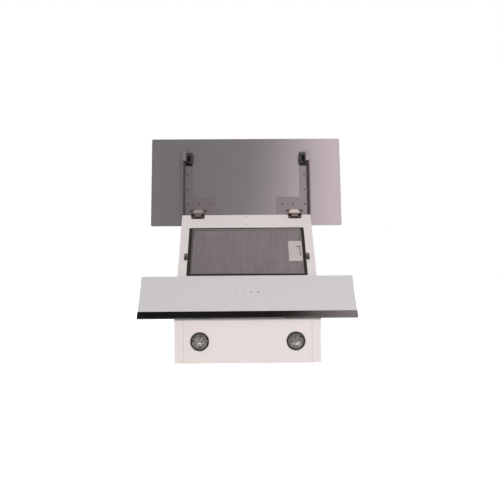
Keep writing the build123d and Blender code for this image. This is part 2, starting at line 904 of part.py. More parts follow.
def bracket_rivet_places():
    """x and s of the five rivets: two in the foot, three up the arm."""
    arm_x = bracket_outer - bracket_arm / 3
    foot_s = axis_s - bracket_foot_length * 0.6
    inner_x = bracket_outer - bracket_foot
    arm = [(arm_x, foot_s - step * arm_rivet_pitch) for step in range(3)]
    foot = [(inner_x + foot_rivet_inset + step * foot_rivet_pitch, foot_s) for step in range(2)]
    return arm + foot


def flap_bracket():
    """The right flap bracket: an L plate, an outer flange that leans out, and a tab at the flange's end."""
    top = axis_s + bracket_above_axis
    arm_end = catch_s - bracket_below_catch
    foot_end = axis_s - bracket_foot_length
    inner = bracket_outer - bracket_foot
    arm_inner = bracket_outer - bracket_arm
    corners = [
        (inner, top),
        (bracket_outer, top),
        (bracket_outer, arm_end),
        (arm_inner, arm_end),
        (arm_inner, foot_end),
        (inner, foot_end),
    ]
    outline = make_face(Polyline(*corners, close=True))
    outline = fillet(outline.vertices().sort_by(Axis.X)[:4], bracket_fillet)
    low = bracket_face()
    bracket = face_plate(outline, low, glass_standoff)
    tip = bracket_outer + flange_lean
    flange = make_face(
        Polyline(
            (bracket_outer - bracket_sheet, glass_standoff),
            (bracket_outer + flange_bend, glass_standoff),
            (tip + flange_bend, flange_clear),
            (tip - bracket_sheet + flange_bend / 2, flange_clear),
            (bracket_outer - bracket_sheet + flange_bend, low - 1.5 * flange_bend),
            (bracket_outer - bracket_sheet, low),
            close=True,
        )
    )
    bracket += face_strip(flange, top - bracket_fillet, arm_end)
    notch_low = axis_s - flange_notch
    bracket -= face_box(bracket_outer - bracket_sheet, 2 * half_body, notch_low, top, 0, flange_notch_top)
    tab_end = arm_end + tab_length
    bracket += face_box(tip - tab_width, tip, arm_end, tab_end, flange_clear, flange_clear + bracket_sheet)
    for x, s in bracket_rivet_places():
        bracket -= face_post(bracket_rivet_radius + screw_hole_gap, x, s, 0, glass_standoff)
    for x in ear_screw_places():
        bracket -= face_post(bracket_rivet_radius + screw_hole_gap, x, ear_screw_s, 0, glass_standoff)
    return bracket


def catch_clip():
    """The plastic ball catch: a tapered block on a flat foot, with the ball's mouth and two sprung jaws."""
    inner = stud_x - clip_inner_offset - clip_width / 2
    outer = inner + clip_width
    low = clip_s - clip_length / 2
    high = clip_s + clip_length / 2
    straight = Polyline(
        (inner, low),
        (outer, low),
        (outer, high - clip_slant_rise),
        (outer - clip_slant_run, high),
        (inner, high),
    )
    bowed = ThreePointArc((inner, high), (inner - clip_bow, clip_s), (inner, low))
    outline = make_face(Curve() + [straight, bowed])
    outline = fillet(outline.vertices(), clip_corner)
    depth = bracket_face() - clip_standoff
    clip = extrude(face_plane(bracket_face()) * outline, -depth, taper=clip_draft)
    foot_inner = inner + clip_foot_inset
    foot_outer = bracket_outer - bracket_sheet - fold_gap
    foot_low = bracket_face() - clip_foot_sheet
    clip += face_box(foot_inner, foot_outer, clip_s, high + clip_foot_drop, foot_low, bracket_face())
    mouth = Pos(stud_x, mouth_s) * SlotOverall(mouth_length, 2 * mouth_radius, rotation=90)
    clip -= face_plate(mouth, 0, ball_height + ball_radius + jaw_slit / 2)
    for side in side_x:
        x = stud_x + side * jaw_slit_reach
        s0 = mouth_s - mouth_length / 2
        clip -= face_box(x - jaw_slit / 2, x + jaw_slit / 2, s0, s0 + mouth_length, 0, ball_height)
    return clip


def bracket_rivets():
    low = bracket_face()
    size = (bracket_rivet_radius, bracket_sheet, bracket_rivet_head, bracket_rivet_height)
    rivets = [under_face_screw(x, s, low, *size) for x, s in bracket_rivet_places()]
    return both_sides(Part() + rivets)


def hinge_flap_screws():
    low = bracket_face() - leaf_sheet
    size = (bracket_rivet_radius, leaf_sheet + bracket_sheet, bracket_rivet_head, ear_screw_height)
    screws = [under_face_screw(x, ear_screw_s, low, *size) for x in ear_screw_places()]
    return both_sides(Part() + screws)


def hinge_body_rivets():
    size = (bracket_rivet_radius, 2 * leaf_sheet, bracket_rivet_head, leaf_rivet_height)
    rivets = [face_screw(x, leaf_rivet_s, leaf_sheet, *size) for x in leaf_rivet_places(1)]
    return both_sides(Part() + rivets)


def hinge_pins():
    half = hinge_width / 2
    end = hinge_x + half + pin_head_gap
    pin = barrel(pin_radius, hinge_x - half, end)
    pin += barrel(2 * pin_radius - 2 * running_gap, end, end + pin_head)
    return both_sides(pin)


def turned(profile, x, forward):
    """A profile drawn as radius and height above the bottom face, turned round an upright axis."""
    solid = revolve(Plane.XZ * profile, Axis.Z)
    return Pos(x, -forward, -mount_height) * solid


def lamp_place(shape):
    return Pos(lamp_x, -lamp_setback, -mount_height) * shape


def lamp_bezel():
    """The black ring below the panel and the tube that grips the panel's hole."""
    inner = bezel_radius - bezel_width
    tube_inner = lamp_tube_outer - lamp_tube_wall
    points = [
        (inner, -bezel_drop * 0.4),
        (inner + bezel_round, -bezel_drop),
        (bezel_radius - bezel_round, -bezel_drop),
        (bezel_radius, -bezel_drop * 0.25),
        (bezel_radius, sheet),
        (lamp_tube_outer, sheet),
        (lamp_tube_outer, lamp_tube_height),
        (tube_inner, lamp_tube_height),
        (tube_inner, lens_seat),
        (inner, lens_seat),
    ]
    return turned(make_face(Polyline(*points, close=True)), lamp_x, lamp_setback)


def lamp_lens():
    radius = lamp_tube_outer - lamp_tube_wall - lens_gap
    return body_post(radius, lamp_x, lamp_setback, lens_seat, lens_seat + lens_thickness)


def lamp_reflector():
    """A pressed reflector of three conical steps with a rim, open at its crown for the bulb."""
    rim = lamp_tube_outer - lamp_tube_wall - lens_gap
    low = lens_seat + lens_thickness + lens_play
    mouth = bulb_radius + bulb_hole_gap
    flare = rim - dish_rim
    steps = [(flare, low)] + [(flare * width, low + dish_depth * height) for width, height in dish_steps]
    inner = [(radius - dish_slant_wall, height) for radius, height in steps]
    steps.append((mouth, low + dish_depth))
    inner.append((mouth, low + dish_depth - dish_wall))
    shoulder = [(rim, low), (rim, low + dish_wall), (flare * dish_shoulder, low + dish_wall)]
    outline = Polyline(*shoulder, *steps[1:], *reversed(inner), close=True)
    return turned(make_face(outline), lamp_x, lamp_setback)


def lamp_can():
    """The closed can above the lamp, with the bulb and its holder hanging inside the reflector."""
    low = lamp_tube_height + lens_play
    roof = can_height - can_wall
    can = body_post(lamp_tube_outer, lamp_x, lamp_setback, low, can_height)
    can -= body_post(lamp_tube_outer - can_wall, lamp_x, lamp_setback, 0, roof)
    bulb_middle = lens_seat + lens_thickness + bulb_rise + bulb_radius
    can += body_post(bulb_radius, lamp_x, lamp_setback, bulb_middle, roof)
    can += lamp_place(Pos(0, 0, bulb_middle) * Sphere(bulb_radius))
    holder = Pos(0, 0, can_height + holder_height / 2) * Box(holder_width, holder_depth, holder_height)
    return can + lamp_place(holder)


# The volute is drawn from three quarter arcs whose radius grows by one step each, round centres
# that step about the shaft by the same amount, so the arcs run into each other without a kink.
volute_top = panel_top - sheet - adapter_height
tongue_height = volute_top - throat_height
outlet_depth = volute_radius + 3 * volute_growth
outlet_front = duct_setback + outlet_depth / 2
outlet_back = duct_setback - outlet_depth / 2
first_centre = (outlet_front, tongue_height - volute_radius)
shaft_forward = first_centre[0] - volute_growth / 2
shaft_height = first_centre[1] + volute_growth / 2


def volute_arcs(grown):
    """The centre, radius and start angle of each quarter arc, grown outwards by an amount."""
    forward, height = first_centre
    behind = forward - volute_growth
    centres = ((forward, height), (behind, height), (behind, height + volute_growth))
    return [
        (centre, volute_radius + step * volute_growth + grown, 90 - step * 90)
        for step, centre in enumerate(centres)
    ]


def volute_outline(grown, top):
    """The blower casing's outline, grown outwards by an amount, open upwards at the outlet."""
    arcs = volute_arcs(grown)
    (forward, height), radius, _ = arcs[0]
    wall = forward + grown
    over = degrees(asin(max(grown, 0) / radius))
    tongue = height + radius * cos(radians(over))
    lines = [Line((wall, top), (wall, tongue))]
    if grown < 0:
        lines.append(Line((wall, tongue), (forward, tongue)))
    lines.append(CenterArc((forward, height), radius, 90 - over, over - 90))
    lines += [CenterArc(centre, radius, start, -90) for centre, radius, start in arcs[1:]]
    back = lines[-1] @ 1
    lines.append(Line((back.X, back.Y), (back.X, top)))
    lines.append(Line((back.X, top), (wall, top)))
    return make_face(Curve() + lines)


def lug_places():
    """Forward and height of the screw lugs round the blower's joint."""
    turns = ((0, 55), (1, -12), (1, -88), (2, -140))
    places = []
    for arc, angle in turns:
        centre, radius, _ = volute_arcs(lug_offset)[arc]
        place = (centre[0] + radius * cos(radians(angle)), centre[1] + radius * sin(radians(angle)))
        places.append(place)
    return places


def blower_half():
    """The right half of the blower casing: wall, joint flange with lugs, and bell-mouthed inlet."""
    half = volute_width / 2
    rim = volute_outline(joint_flange, volute_top - joint_flange)
    flange = extrude(side_plane(joint_sheet) * rim, joint_sheet)
    for forward, height in lug_places():
        flange += body_bar(lug_radius, 0, joint_sheet, forward, height)
        flange -= body_bar(lug_hole, -joint_sheet, 2 * joint_sheet, forward, height)
    rise = blower_strap_height / 2 + joint_flange
    back_room = outlet_back - 2 * joint_flange
    flange -= body_box(-half, half, back_room, outlet_back, shaft_height - rise, shaft_height + rise)
    shell = extrude(side_plane(half) * volute_outline(0, volute_top), half) + flange
    room_top = volute_top + throat_height
    shell -= extrude(side_plane(half - volute_wall) * volute_outline(-volute_wall, room_top), half)
    shell -= body_bar(inlet_radius, half - 2 * volute_wall, half + volute_wall, shaft_forward, shaft_height)
    bell = revolve(Plane.XZ * (Pos(inlet_radius + bell_radius, 0) * Circle(bell_radius)), Axis.Z)
    bell -= Pos(0, 0, -bell_radius) * Cylinder(2 * inlet_radius, 2 * bell_radius)
    shell += Pos(half, -shaft_forward, shaft_height - mount_height) * Rot(0, 90, 0) * bell
    return shell


def blower_screws():
    """The screws through the lugs of the blower's joint, each with a nut on the far side."""
    screws = Part()
    for forward, height in lug_places():
        place = Pos(joint_sheet, -forward, height - mount_height) * Rot(0, 90, 0)
        reach = 2 * joint_sheet + joint_screw_height
        screws += place * screw(joint_screw, reach, joint_screw_head, joint_screw_height)
        nut = extrude(RegularPolygon(joint_screw_head, 6), -joint_screw_height)
        screws += place * Pos(0, 0, -2 * joint_sheet) * nut
    return screws


def impeller():
    """A double-inlet wheel: a middle disc with forward-curved blades on both sides and two end rings."""
    half = impeller_width / 2
    tip = impeller_radius - ring_lap
    middle = (impeller_inner + tip) / 2
    face = ThreePointArc((impeller_inner, 0), (middle, blade_bow), (tip, blade_rise))
    back = ThreePointArc(
        (tip, blade_rise + blade_thickness),
        (middle, blade_bow + blade_thickness),
        (impeller_inner, blade_thickness),
    )
    links = [Line(face @ 1, back @ 0), Line(back @ 1, face @ 0)]
    blade = extrude(make_face(Curve() + [face, back] + links), half, both=True)
    blades = [Rot(0, 0, step * 360 / blade_count) * blade for step in range(blade_count)]
    ring = Cylinder(impeller_radius, impeller_ring) - Cylinder(impeller_radius - ring_width, impeller_ring)
    wheel = Cylinder(impeller_radius, impeller_disc)
    wheel += Pos(0, 0, hub_length / 2) * Cylinder(hub_radius, hub_length)
    wheel += blades
    for side in side_x:
        wheel += Pos(0, 0, side * (half - impeller_ring / 2)) * ring
    wheel -= Pos(0, 0, hub_length / 2) * Cylinder(shaft_radius, 2 * hub_length)
    return Pos(0, -shaft_forward, shaft_height - mount_height) * Rot(0, 90, 0) * wheel


motor_right = -impeller_disc / 2 - motor_gap
motor_left = motor_right - motor_length


def motor():
    """The motor that sits inside the wheel's left half, with cooling fins and a shaft bore."""
    body = body_bar(motor_radius - motor_fin_height, motor_left, motor_right, shaft_forward, shaft_height)
    body += body_bar(cradle_hub, -volute_width / 2 - bell_radius, motor_left, shaft_forward, shaft_height)
    for step in range(motor_fins):
        x = motor_left + (step + 0.5) * motor_length / motor_fins
        half = motor_fin_sheet / 2
        body += body_bar(motor_radius, x - half, x + half, shaft_forward, shaft_height)
    bore_end = motor_left + motor_bore_wall
    return body - body_bar(shaft_radius + running_gap, bore_end, 0, shaft_forward, shaft_height)


def motor_shaft():
    right = hub_length + shaft_nose
    return body_bar(shaft_radius, right - shaft_length, right, shaft_forward, shaft_height)


def motor_cradle():
    """The spider that carries the motor in the left inlet: a ring, four posts and four arms."""
    outer = -volute_width / 2
    arm_right = outer - bell_radius
    arm_left = arm_right - cradle_sheet
    ring_inner = inlet_radius + 2 * bell_radius + fold_gap
    ring_outer = ring_inner + cradle_ring
    cradle = body_bar(cradle_hub, arm_left, arm_right, shaft_forward, shaft_height)
    cradle += body_bar(ring_outer, outer - cradle_sheet, outer, shaft_forward, shaft_height)
    cradle -= body_bar(ring_inner, outer - cradle_sheet, outer, shaft_forward, shaft_height)
    inner = cradle_hub / 2
    arm_end = ring_outer - cradle_arm_inset
    arm = Pos((inner + arm_end) / 2, 0, 0) * Box(arm_end - inner, cradle_arm, cradle_sheet)
    post_height = outer - arm_left
    post = Pos((ring_inner + arm_end) / 2, 0, (post_height - cradle_sheet) / 2)
    arm += post * Box(arm_end - ring_inner, cradle_arm, post_height)
    middle = Pos(arm_left + cradle_sheet / 2, -shaft_forward, shaft_height - mount_height)
    for step in range(cradle_arms):
        turn = Rot(0, 0, 45 + step * 360 / cradle_arms)
        cradle += middle * Rot(0, 90, 0) * turn * arm
    return cradle


def blower_strap():
    """A hat-shaped strap that holds the blower off the back panel."""
    half = blower_strap_width / 2
    z0 = shaft_height - blower_strap_height / 2
    z1 = shaft_height + blower_strap_height / 2
    strap = body_box(-half, half, outlet_back - strap_sheet, outlet_back, z0, z1)
    for side in side_x:
        inner = side * (half - strap_sheet)
        outer = side * (half + side_flange)
        leg = sorted((side * half, inner))
        strap += body_box(leg[0], leg[1], sheet, outlet_back, z0, z1)
        foot = sorted((inner, outer))
        strap += body_box(foot[0], foot[1], sheet, sheet + strap_sheet, z0, z1)
    return strap


def outlet_adapter():
    """A duct that changes from the blower's oblong outlet to the round collar."""
    top = panel_top - sheet
    low_plane = Plane(origin=(0, -duct_setback, volute_top - mount_height))
    high_plane = Plane(origin=(0, -duct_setback, top - mount_height))
    shapes = []
    for inset in (0, volute_wall):
        corner = adapter_corner - inset
        oblong = low_plane * RectangleRounded(volute_width - 2 * inset, outlet_depth - 2 * inset, corner)
        circle = high_plane * Circle(duct_radius - inset)
        shapes.append(loft([oblong.face(), circle.face()]))
    duct = shapes[0] - shapes[1]
    flange = body_post(adapter_flange_radius, 0, duct_setback, top - adapter_flange, top)
    bore = duct_radius - volute_wall
    flange -= body_post(bore, 0, duct_setback, top - 2 * adapter_flange, top + adapter_flange)
    return duct + flange


collar_base = panel_top
damper_z = collar_base + damper_height


def duct_collar():
    """The round spigot: flange, tube with a stop bead, and a ledge that the closed dampers rest on."""
    inner = duct_radius - duct_wall
    top = collar_base + duct_height
    points = [
        (inner, collar_base),
        (collar_flange, collar_base),
        (collar_flange, collar_base + collar_flange_thickness),
        (duct_radius + duct_root, collar_base + collar_flange_thickness),
        (duct_radius, collar_base + collar_flange_thickness + duct_root),
        (duct_radius, top - duct_lead),
        (duct_radius - duct_lead_depth, top),
        (inner, top),
    ]
    collar = turned(make_face(Polyline(*points, close=True)), 0, duct_setback)
    ledge_top = damper_z - damper_sheet / 2 - damper_ledge_gap
    ledge_place = Pos(inner - (damper_ledge - fold_gap) / 2, ledge_top - damper_ledge_height / 2)
    ledge = ledge_place * Rectangle(damper_ledge + fold_gap, damper_ledge_height)
    collar += turned(ledge, 0, duct_setback)
    for side in side_x:
        forward = duct_setback + side * damper_pin_offset
        collar -= body_bar(damper_pin_radius, -duct_radius, duct_radius, forward, damper_z)
    return collar


def damper_pins():
    reach = duct_radius - duct_wall / 4
    half = sqrt(reach ** 2 - damper_pin_offset ** 2)
    pins = []
    for side in side_x:
        forward = duct_setback + side * damper_pin_offset
        pins.append(body_bar(damper_pin_radius, -half, half, forward, damper_z))
    return Part() + pins


def damper(side):
    """A half-round flap on a sleeve. side is 1 for the front flap and -1 for the rear one."""
    radius = duct_radius - duct_wall - damper_gap
    pin_f = duct_setback + side * damper_pin_offset
    plate = body_post(radius, 0, duct_setback, damper_z - damper_sheet / 2, damper_z + damper_sheet / 2)
    inner = pin_f
    outer = duct_setback + side * 2 * radius
    keep = sorted((inner, outer))
    plate &= body_box(-radius, radius, keep[0], keep[1], damper_z - damper_sheet, damper_z + damper_sheet)
    half = radius - damper_sleeve_inset
    flap = plate + body_bar(damper_sleeve, -half, half, pin_f, damper_z)
    flap -= body_bar(damper_pin_radius + running_gap, -2 * radius, 2 * radius, pin_f, damper_z)
    cut = sorted((pin_f - side * damper_sleeve, pin_f + side * damper_sleeve))
    room = 2 * damper_sleeve
    for end in side_x:
        ends = sorted((end * half, end * 2 * radius))
        flap -= body_box(ends[0], ends[1], cut[0], cut[1], damper_z - room, damper_z + room)
    return flap


def control_box():
    """An open tray on the back panel, with a terminal block inside."""
    front = sheet + box_depth
    top = box_rise + box_tall
    box = body_box(box_left, box_right, sheet, front, box_rise, top)
    left = box_left + box_wall
    right = box_right - box_wall
    box -= body_box(left, right, sheet + box_wall, 2 * front, box_rise + box_wall, top - box_wall)
    middle = box_left + box_width / 2
    half = terminal_width / 2
    low = box_rise + terminal_rise
    block_front = sheet + terminal_depth
    box += body_box(middle - half, middle + half, sheet, block_front, low, low + terminal_height)
    first = middle - (terminal_count - 1) * terminal_pitch / 2
    for step in range(terminal_count):
        x = first + step * terminal_pitch
        box -= wall_pin(terminal_hole, x, sheet + terminal_depth / 2, 2 * front, low + terminal_height / 2)
    return box


def control_box_lid():
    """A lid whose lip goes over the tray."""
    front = sheet + box_depth
    grown = fold_gap + box_wall
    top = box_rise + box_tall
    lip = front - box_lid_lip
    lid = body_box(box_left - grown, box_right + grown, lip, front + box_wall, box_rise - grown, top + grown)
    lid -= body_box(box_left - fold_gap, box_right + fold_gap, 0, front, box_rise - fold_gap, top + fold_gap)
    corners = lid.edges().filter_by(Axis.Y).group_by(SortBy.LENGTH)[-1]
    return fillet(corners, box_lid_round)


def motor_capacitor():
    """A round capacitor on a base that is clipped to the back panel."""
    forward = sheet + capacitor_radius + capacitor_gap
    top = capacitor_rise + capacitor_length
    can = body_post(capacitor_radius, capacitor_x, forward, capacitor_rise, top)
    can = fillet(can.faces().sort_by(Axis.Z)[-1].edges(), capacitor_round)
    half = capacitor_base_width / 2
    base_top = top - capacitor_clip_drop
    can += body_box(capacitor_x - half, capacitor_x + half, sheet, forward, capacitor_rise, base_top)
    f0 = forward - spade_sheet / 2
    for side in side_x:
        x = capacitor_x + side * spade_width
        x0 = x - spade_width / 2
        can += body_box(x0, x0 + spade_width, f0, f0 + spade_sheet, top - sheet, top + spade_height)
    return can


def cable_gland():
    """The gland through the top panel: two hexagon nuts and a domed nose round the cable's bore."""
    under = panel_top - sheet
    gland = body_post(gland_body, gland_x, gland_setback, under - gland_tail, panel_top + gland_height)
    for low, height in ((panel_top, gland_nut_height), (under - gland_lock_height, gland_lock_height)):
        nut = extrude(RegularPolygon(gland_nut, 6), height)
        gland += Pos(gland_x, -gland_setback, low - mount_height) * nut
    gland = fillet(gland.faces().sort_by(Axis.Z)[-1].edges(), gland_round)
    return gland - body_post(gland_bore, gland_x, gland_setback, 0, 2 * body_height)


def casing_screws():
    screws = []
    for x, forward in top_screw_places:
        place = Pos(x, -forward, panel_top - mount_height)
        screws.append(place * screw(screw_shank, screw_reach, screw_head, screw_head_height))
    for drop in band_screw_drops:
        s = face_length - drop
        screws.append(face_screw(0, s, 0, band_screw_shank, 2 * sheet, band_screw_head, band_screw_height))
    return Part() + screws


def build():
    pieces = {}
    side = side_panel()
    pieces["side_panel_right"] = side
    pieces["side_panel_left"] = mirrored(side)
    pieces["back_panel"] = back_panel()
    pieces["top_panel"] = top_panel()
    pieces["front_frame"] = front_frame()
    pieces["light_panel"] = light_panel()

    pieces["filter_gasket"] = filter_gasket()
    pieces["filter_frame"] = filter_frame()
    pieces["filter_front_mesh"] = filter_front_mesh()
    pieces["filter_core"] = filter_core()
    pieces["filter_back_mesh"] = filter_back_mesh()
    pieces["latch_plate"] = latch_plate()
    pieces["latch_lever"] = latch_lever()
    pieces["latch_spring"] = latch_spring()

    pieces["lower_glass"] = glass_sheet(lower_glass_length, lower_glass_low)
    pieces["lower_edge_trim"] = lower_edge_trim()
    rail = lower_glass_rail()
    pieces["lower_glass_rail_right"] = rail
    pieces["lower_glass_rail_left"] = mirrored(rail)
    pieces["touch_module"] = touch_module()
    pieces["catch_studs"] = catch_studs()

    leaf = body_leaf()
    pieces["hinge_right_body_leaf"] = leaf
    pieces["hinge_left_body_leaf"] = mirrored(leaf)
    pieces["hinge_pins"] = hinge_pins()
    pieces["hinge_body_rivets"] = hinge_body_rivets()

    pieces["flap_glass"] = opened(glass_sheet(flap_length, flap_low))
    for name, shape in (("flap_bracket", flap_bracket()), ("catch_clip", catch_clip())):
        pieces[name + "_right"] = opened(shape)
        pieces[name + "_left"] = opened(mirrored(shape))
    leaf = flap_leaf()
    pieces["hinge_right_flap_leaf"] = opened(leaf)
    pieces["hinge_left_flap_leaf"] = opened(mirrored(leaf))
    pieces["bracket_rivets"] = opened(bracket_rivets())
    pieces["hinge_flap_screws"] = opened(hinge_flap_screws())
    pieces["hinge_caps"] = opened(hinge_caps())

    for name, shape in (
        ("bezel", lamp_bezel()),
        ("lens", lamp_lens()),
        ("reflector", lamp_reflector()),
        ("can", lamp_can()),
    ):
        pieces["lamp_right_" + name] = shape
        pieces["lamp_left_" + name] = mirrored(shape)

    half = blower_half()
    pieces["blower_half_right"] = half
    pieces["blower_half_left"] = mirrored(half)
    pieces["blower_screws"] = blower_screws()
    pieces["impeller"] = impeller()
    pieces["motor"] = motor()
    pieces["motor_shaft"] = motor_shaft()
    pieces["motor_cradle"] = motor_cradle()
    pieces["blower_strap"] = blower_strap()
    pieces["outlet_adapter"] = outlet_adapter()

    pieces["duct_collar"] = duct_collar()
    pieces["damper_pins"] = damper_pins()
    pieces["damper_front"] = damper(1)
    pieces["damper_rear"] = damper(-1)

    pieces["control_box"] = control_box()
    pieces["control_box_lid"] = control_box_lid()
    pieces["motor_capacitor"] = motor_capacitor()
    pieces["cable_gland"] = cable_gland()
    pieces["casing_screws"] = casing_screws()
    return pieces


for node, solid in build().items():
    export_step(solid, f"parts/{node}.step")
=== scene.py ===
# %% [markdown]
# # An angled range hood, dressed for its picture
# The metal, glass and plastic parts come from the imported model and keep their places. This lesson gives
# each of them its finish, and adds what is too fine for the model: the fine filter mesh, the rings round
# the lamps, the small trim at the filter, the latch and the hinges, the crosses in the screw heads and the
# marks on the glass.

# %% Load the parts
import bpy
import bmesh
import json
import math
from mathutils import Matrix, Vector


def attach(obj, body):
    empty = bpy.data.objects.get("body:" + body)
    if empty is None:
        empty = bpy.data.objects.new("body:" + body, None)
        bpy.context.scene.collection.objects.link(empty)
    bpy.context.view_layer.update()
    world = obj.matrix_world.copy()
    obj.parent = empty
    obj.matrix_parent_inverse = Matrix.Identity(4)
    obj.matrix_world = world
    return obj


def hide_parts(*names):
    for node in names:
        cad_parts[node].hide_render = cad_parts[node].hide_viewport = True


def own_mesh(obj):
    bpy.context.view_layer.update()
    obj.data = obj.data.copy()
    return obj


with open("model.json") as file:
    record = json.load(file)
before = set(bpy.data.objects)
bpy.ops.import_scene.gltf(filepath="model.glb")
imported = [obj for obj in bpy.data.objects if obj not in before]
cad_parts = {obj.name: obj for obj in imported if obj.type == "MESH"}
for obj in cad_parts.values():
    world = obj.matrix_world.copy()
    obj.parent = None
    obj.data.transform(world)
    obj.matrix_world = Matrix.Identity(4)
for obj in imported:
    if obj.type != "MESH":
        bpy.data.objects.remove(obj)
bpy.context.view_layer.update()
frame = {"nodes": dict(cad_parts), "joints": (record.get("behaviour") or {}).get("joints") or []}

# %% [markdown]
# ## Places on the hood
# The hood's front leans back at one angle, and the filter, the latch and the glass all follow it. Each
# place could be typed in room coordinates, but every number would then mix height and depth. So three
# numbers follow the front: x to the right, s up the slope, and k out from it. Blender's vectors turn them
# into places in the room.

# %% Face places
MM = 0.001
FACE_TILT = math.radians(39.5)
BOTTOM_DEPTH = 119.0
BOTTOM_Z = -200.0
FACE_FOOT = Vector((0, -BOTTOM_DEPTH * MM, BOTTOM_Z * MM))
UP_FACE = Vector((0, -math.cos(FACE_TILT), math.sin(FACE_TILT)))
OUT_FACE = Vector((0, -math.sin(FACE_TILT), -math.cos(FACE_TILT)))
FACE_TURN = Matrix((Vector((1, 0, 0)), UP_FACE, OUT_FACE)).transposed().to_4x4()


def on_face(x, s, k):
    """A place in metres from face millimetres."""
    return FACE_FOOT + Vector((x * MM, 0, 0)) + UP_FACE * (s * MM) + OUT_FACE * (k * MM)


def face_matrix(x, s, k):
    """The turn and the move that lay a flat drawing on the face at that place."""
    return Matrix.Translation(on_face(x, s, k)) @ FACE_TURN


flap_joint = next(joint for joint in frame["joints"] if joint["name"] == "flap_hinge")
HINGE = Vector(flap_joint["pos_m"])
FLAP_TRAVEL = math.radians(flap_joint["range_deg"][1])
OPEN_FLAP = Matrix.Translation(HINGE) @ Matrix.Rotation(-FLAP_TRAVEL, 4, "X") @ Matrix.Translation(-HINGE)
OUT_FLAP = (OPEN_FLAP.to_3x3() @ OUT_FACE).normalized()
print("open flap faces", [round(value, 3) for value in OUT_FLAP])

# %% [markdown]
# ## The camera
# The photograph looks up at the hood's underside, with the room side at the top of the picture. A camera
# could be pushed about by hand until the picture looks right, but a lens and a distance can make up for
# each other. So the values below come from matching the corners of the body and of both glass panels.

# %% Camera
CAMERA_PLACE = Vector((-11.1, -324.5, -1828.8)) * MM
CAMERA_LENS = 43.2
CAMERA_SENSOR = 36.0
ROLL, YAW, PITCH = (math.radians(angle) for angle in (0.417, -0.66, -0.573))

# Up in the picture is the hood's front, towards -Y, and a Blender camera looks along its own -Z.
flip = Matrix.Diagonal((1, -1, 1))
turn = Matrix.Rotation(ROLL, 3, "Z") @ Matrix.Rotation(YAW, 3, "Y") @ Matrix.Rotation(PITCH, 3, "X")
seen = turn @ flip
camera_data = bpy.data.cameras.new("camera")
camera_data.lens = CAMERA_LENS
camera_data.sensor_width = CAMERA_SENSOR
camera = bpy.data.objects.new("camera", camera_data)
bpy.context.scene.collection.objects.link(camera)
camera.matrix_world = (
    Matrix.Translation(CAMERA_PLACE) @ (seen.transposed() @ Matrix.Diagonal((1, 1, -1))).to_4x4()
)
bpy.context.scene.camera = camera
bpy.context.scene.view_settings.view_transform = "Standard"
print("camera at", [round(value, 3) for value in CAMERA_PLACE], "metres, lens", CAMERA_LENS)

# %% [markdown]
# ## Light
# White paint needs soft, even light, or it turns to plain white. A room could be built round the hood, but
# its walls would show in other views. So the world does it with a few nodes: an even base for the paint,
# white for the camera, and for what shines a room that is dark on the left and a warm pale tone on the
# right, as the photographer's room was. The edge between the two leans a little.

# %% World
WHITE = (1, 1, 1, 1)
AMBIENT = 0.43
ROOM_TINT = (1.0, 0.87, 0.85, 1)
ROOM_ACROSS = (1.0, 0.096, 0.0)
ROOM_FROM = -0.1
ROOM_TO = 0.9
ROOM_BRIGHTEST = 1.6
ROOM_STOPS = ((-0.008, 0.02), (0.048, 0.78), (0.11, 1.5), (0.55, 1.4), (0.85, 0.02))


def node(tree, kind, **settings):
    """A new node with its settings, in any node tree."""
    made = tree.nodes.new(kind)
    for key, value in settings.items():
        setattr(made, key, value)
    return made


def set_inputs(made, **values):
    """Set a node's inputs by name, where an underscore stands for a space."""
    for key, value in values.items():
        made.inputs[key.replace("_", " ")].default_value = value
    return made


def wire(tree, *links):
    """Link sockets: each link is a node and its output, or an output socket, then a node and its input."""
    for *start, made, into in links:
        source = start[0].outputs[start[1]] if len(start) == 2 else start[0]
        tree.links.new(source, made.inputs[into])


world = bpy.data.worlds.new("studio")
bpy.context.scene.world = world
world.use_nodes = True
sky = world.node_tree
sky.nodes.clear()
path = node(sky, "ShaderNodeLightPath")
direction = node(sky, "ShaderNodeTexCoord")
across = node(sky, "ShaderNodeVectorMath", operation="DOT_PRODUCT")
across.inputs[1].default_value = ROOM_ACROSS
spread = node(sky, "ShaderNodeMapRange")
set_inputs(spread, From_Min=ROOM_FROM, From_Max=ROOM_TO)
room = node(sky, "ShaderNodeValToRGB")
# A new ramp has two stops already, so only the others are added.
stops = room.color_ramp.elements
for number, (reach, strength) in enumerate(ROOM_STOPS):
    place = (reach - ROOM_FROM) / (ROOM_TO - ROOM_FROM)
    stop = stops[number] if number < 2 else stops.new(place)
    stop.position = place
    stop.color = [strength / ROOM_BRIGHTEST] * 3 + [1]
room_light = node(sky, "ShaderNodeMath", operation="MULTIPLY")
room_light.inputs[1].default_value = ROOM_BRIGHTEST
base_light, shine_light, white_light = (
    set_inputs(node(sky, "ShaderNodeBackground"), Color=tone) for tone in (WHITE, ROOM_TINT, WHITE)
)
set_inputs(base_light, Strength=AMBIENT)
shine_mix, clear_mix, camera_mix = (node(sky, "ShaderNodeMixShader") for _ in range(3))
output = node(sky, "ShaderNodeOutputWorld")
wire(
    sky,
    (direction, "Generated", across, 0),
    (across, "Value", spread, "Value"),
    (spread, "Result", room, "Fac"),
    (room, "Color", room_light, 0),
    (room_light, 0, shine_light, "Strength"),
    (path, "Is Glossy Ray", shine_mix, "Fac"),
    (base_light, 0, shine_mix, 1),
    (shine_light, 0, shine_mix, 2),
    (path, "Is Transmission Ray", clear_mix, "Fac"),
    (shine_mix, 0, clear_mix, 1),
    (white_light, 0, clear_mix, 2),
    (path, "Is Camera Ray", camera_mix, "Fac"),
    (clear_mix, 0, camera_mix, 1),
    (white_light, 0, camera_mix, 2),
    (camera_mix, 0, output, "Surface"),
)
print("world nodes:", len(sky.nodes))

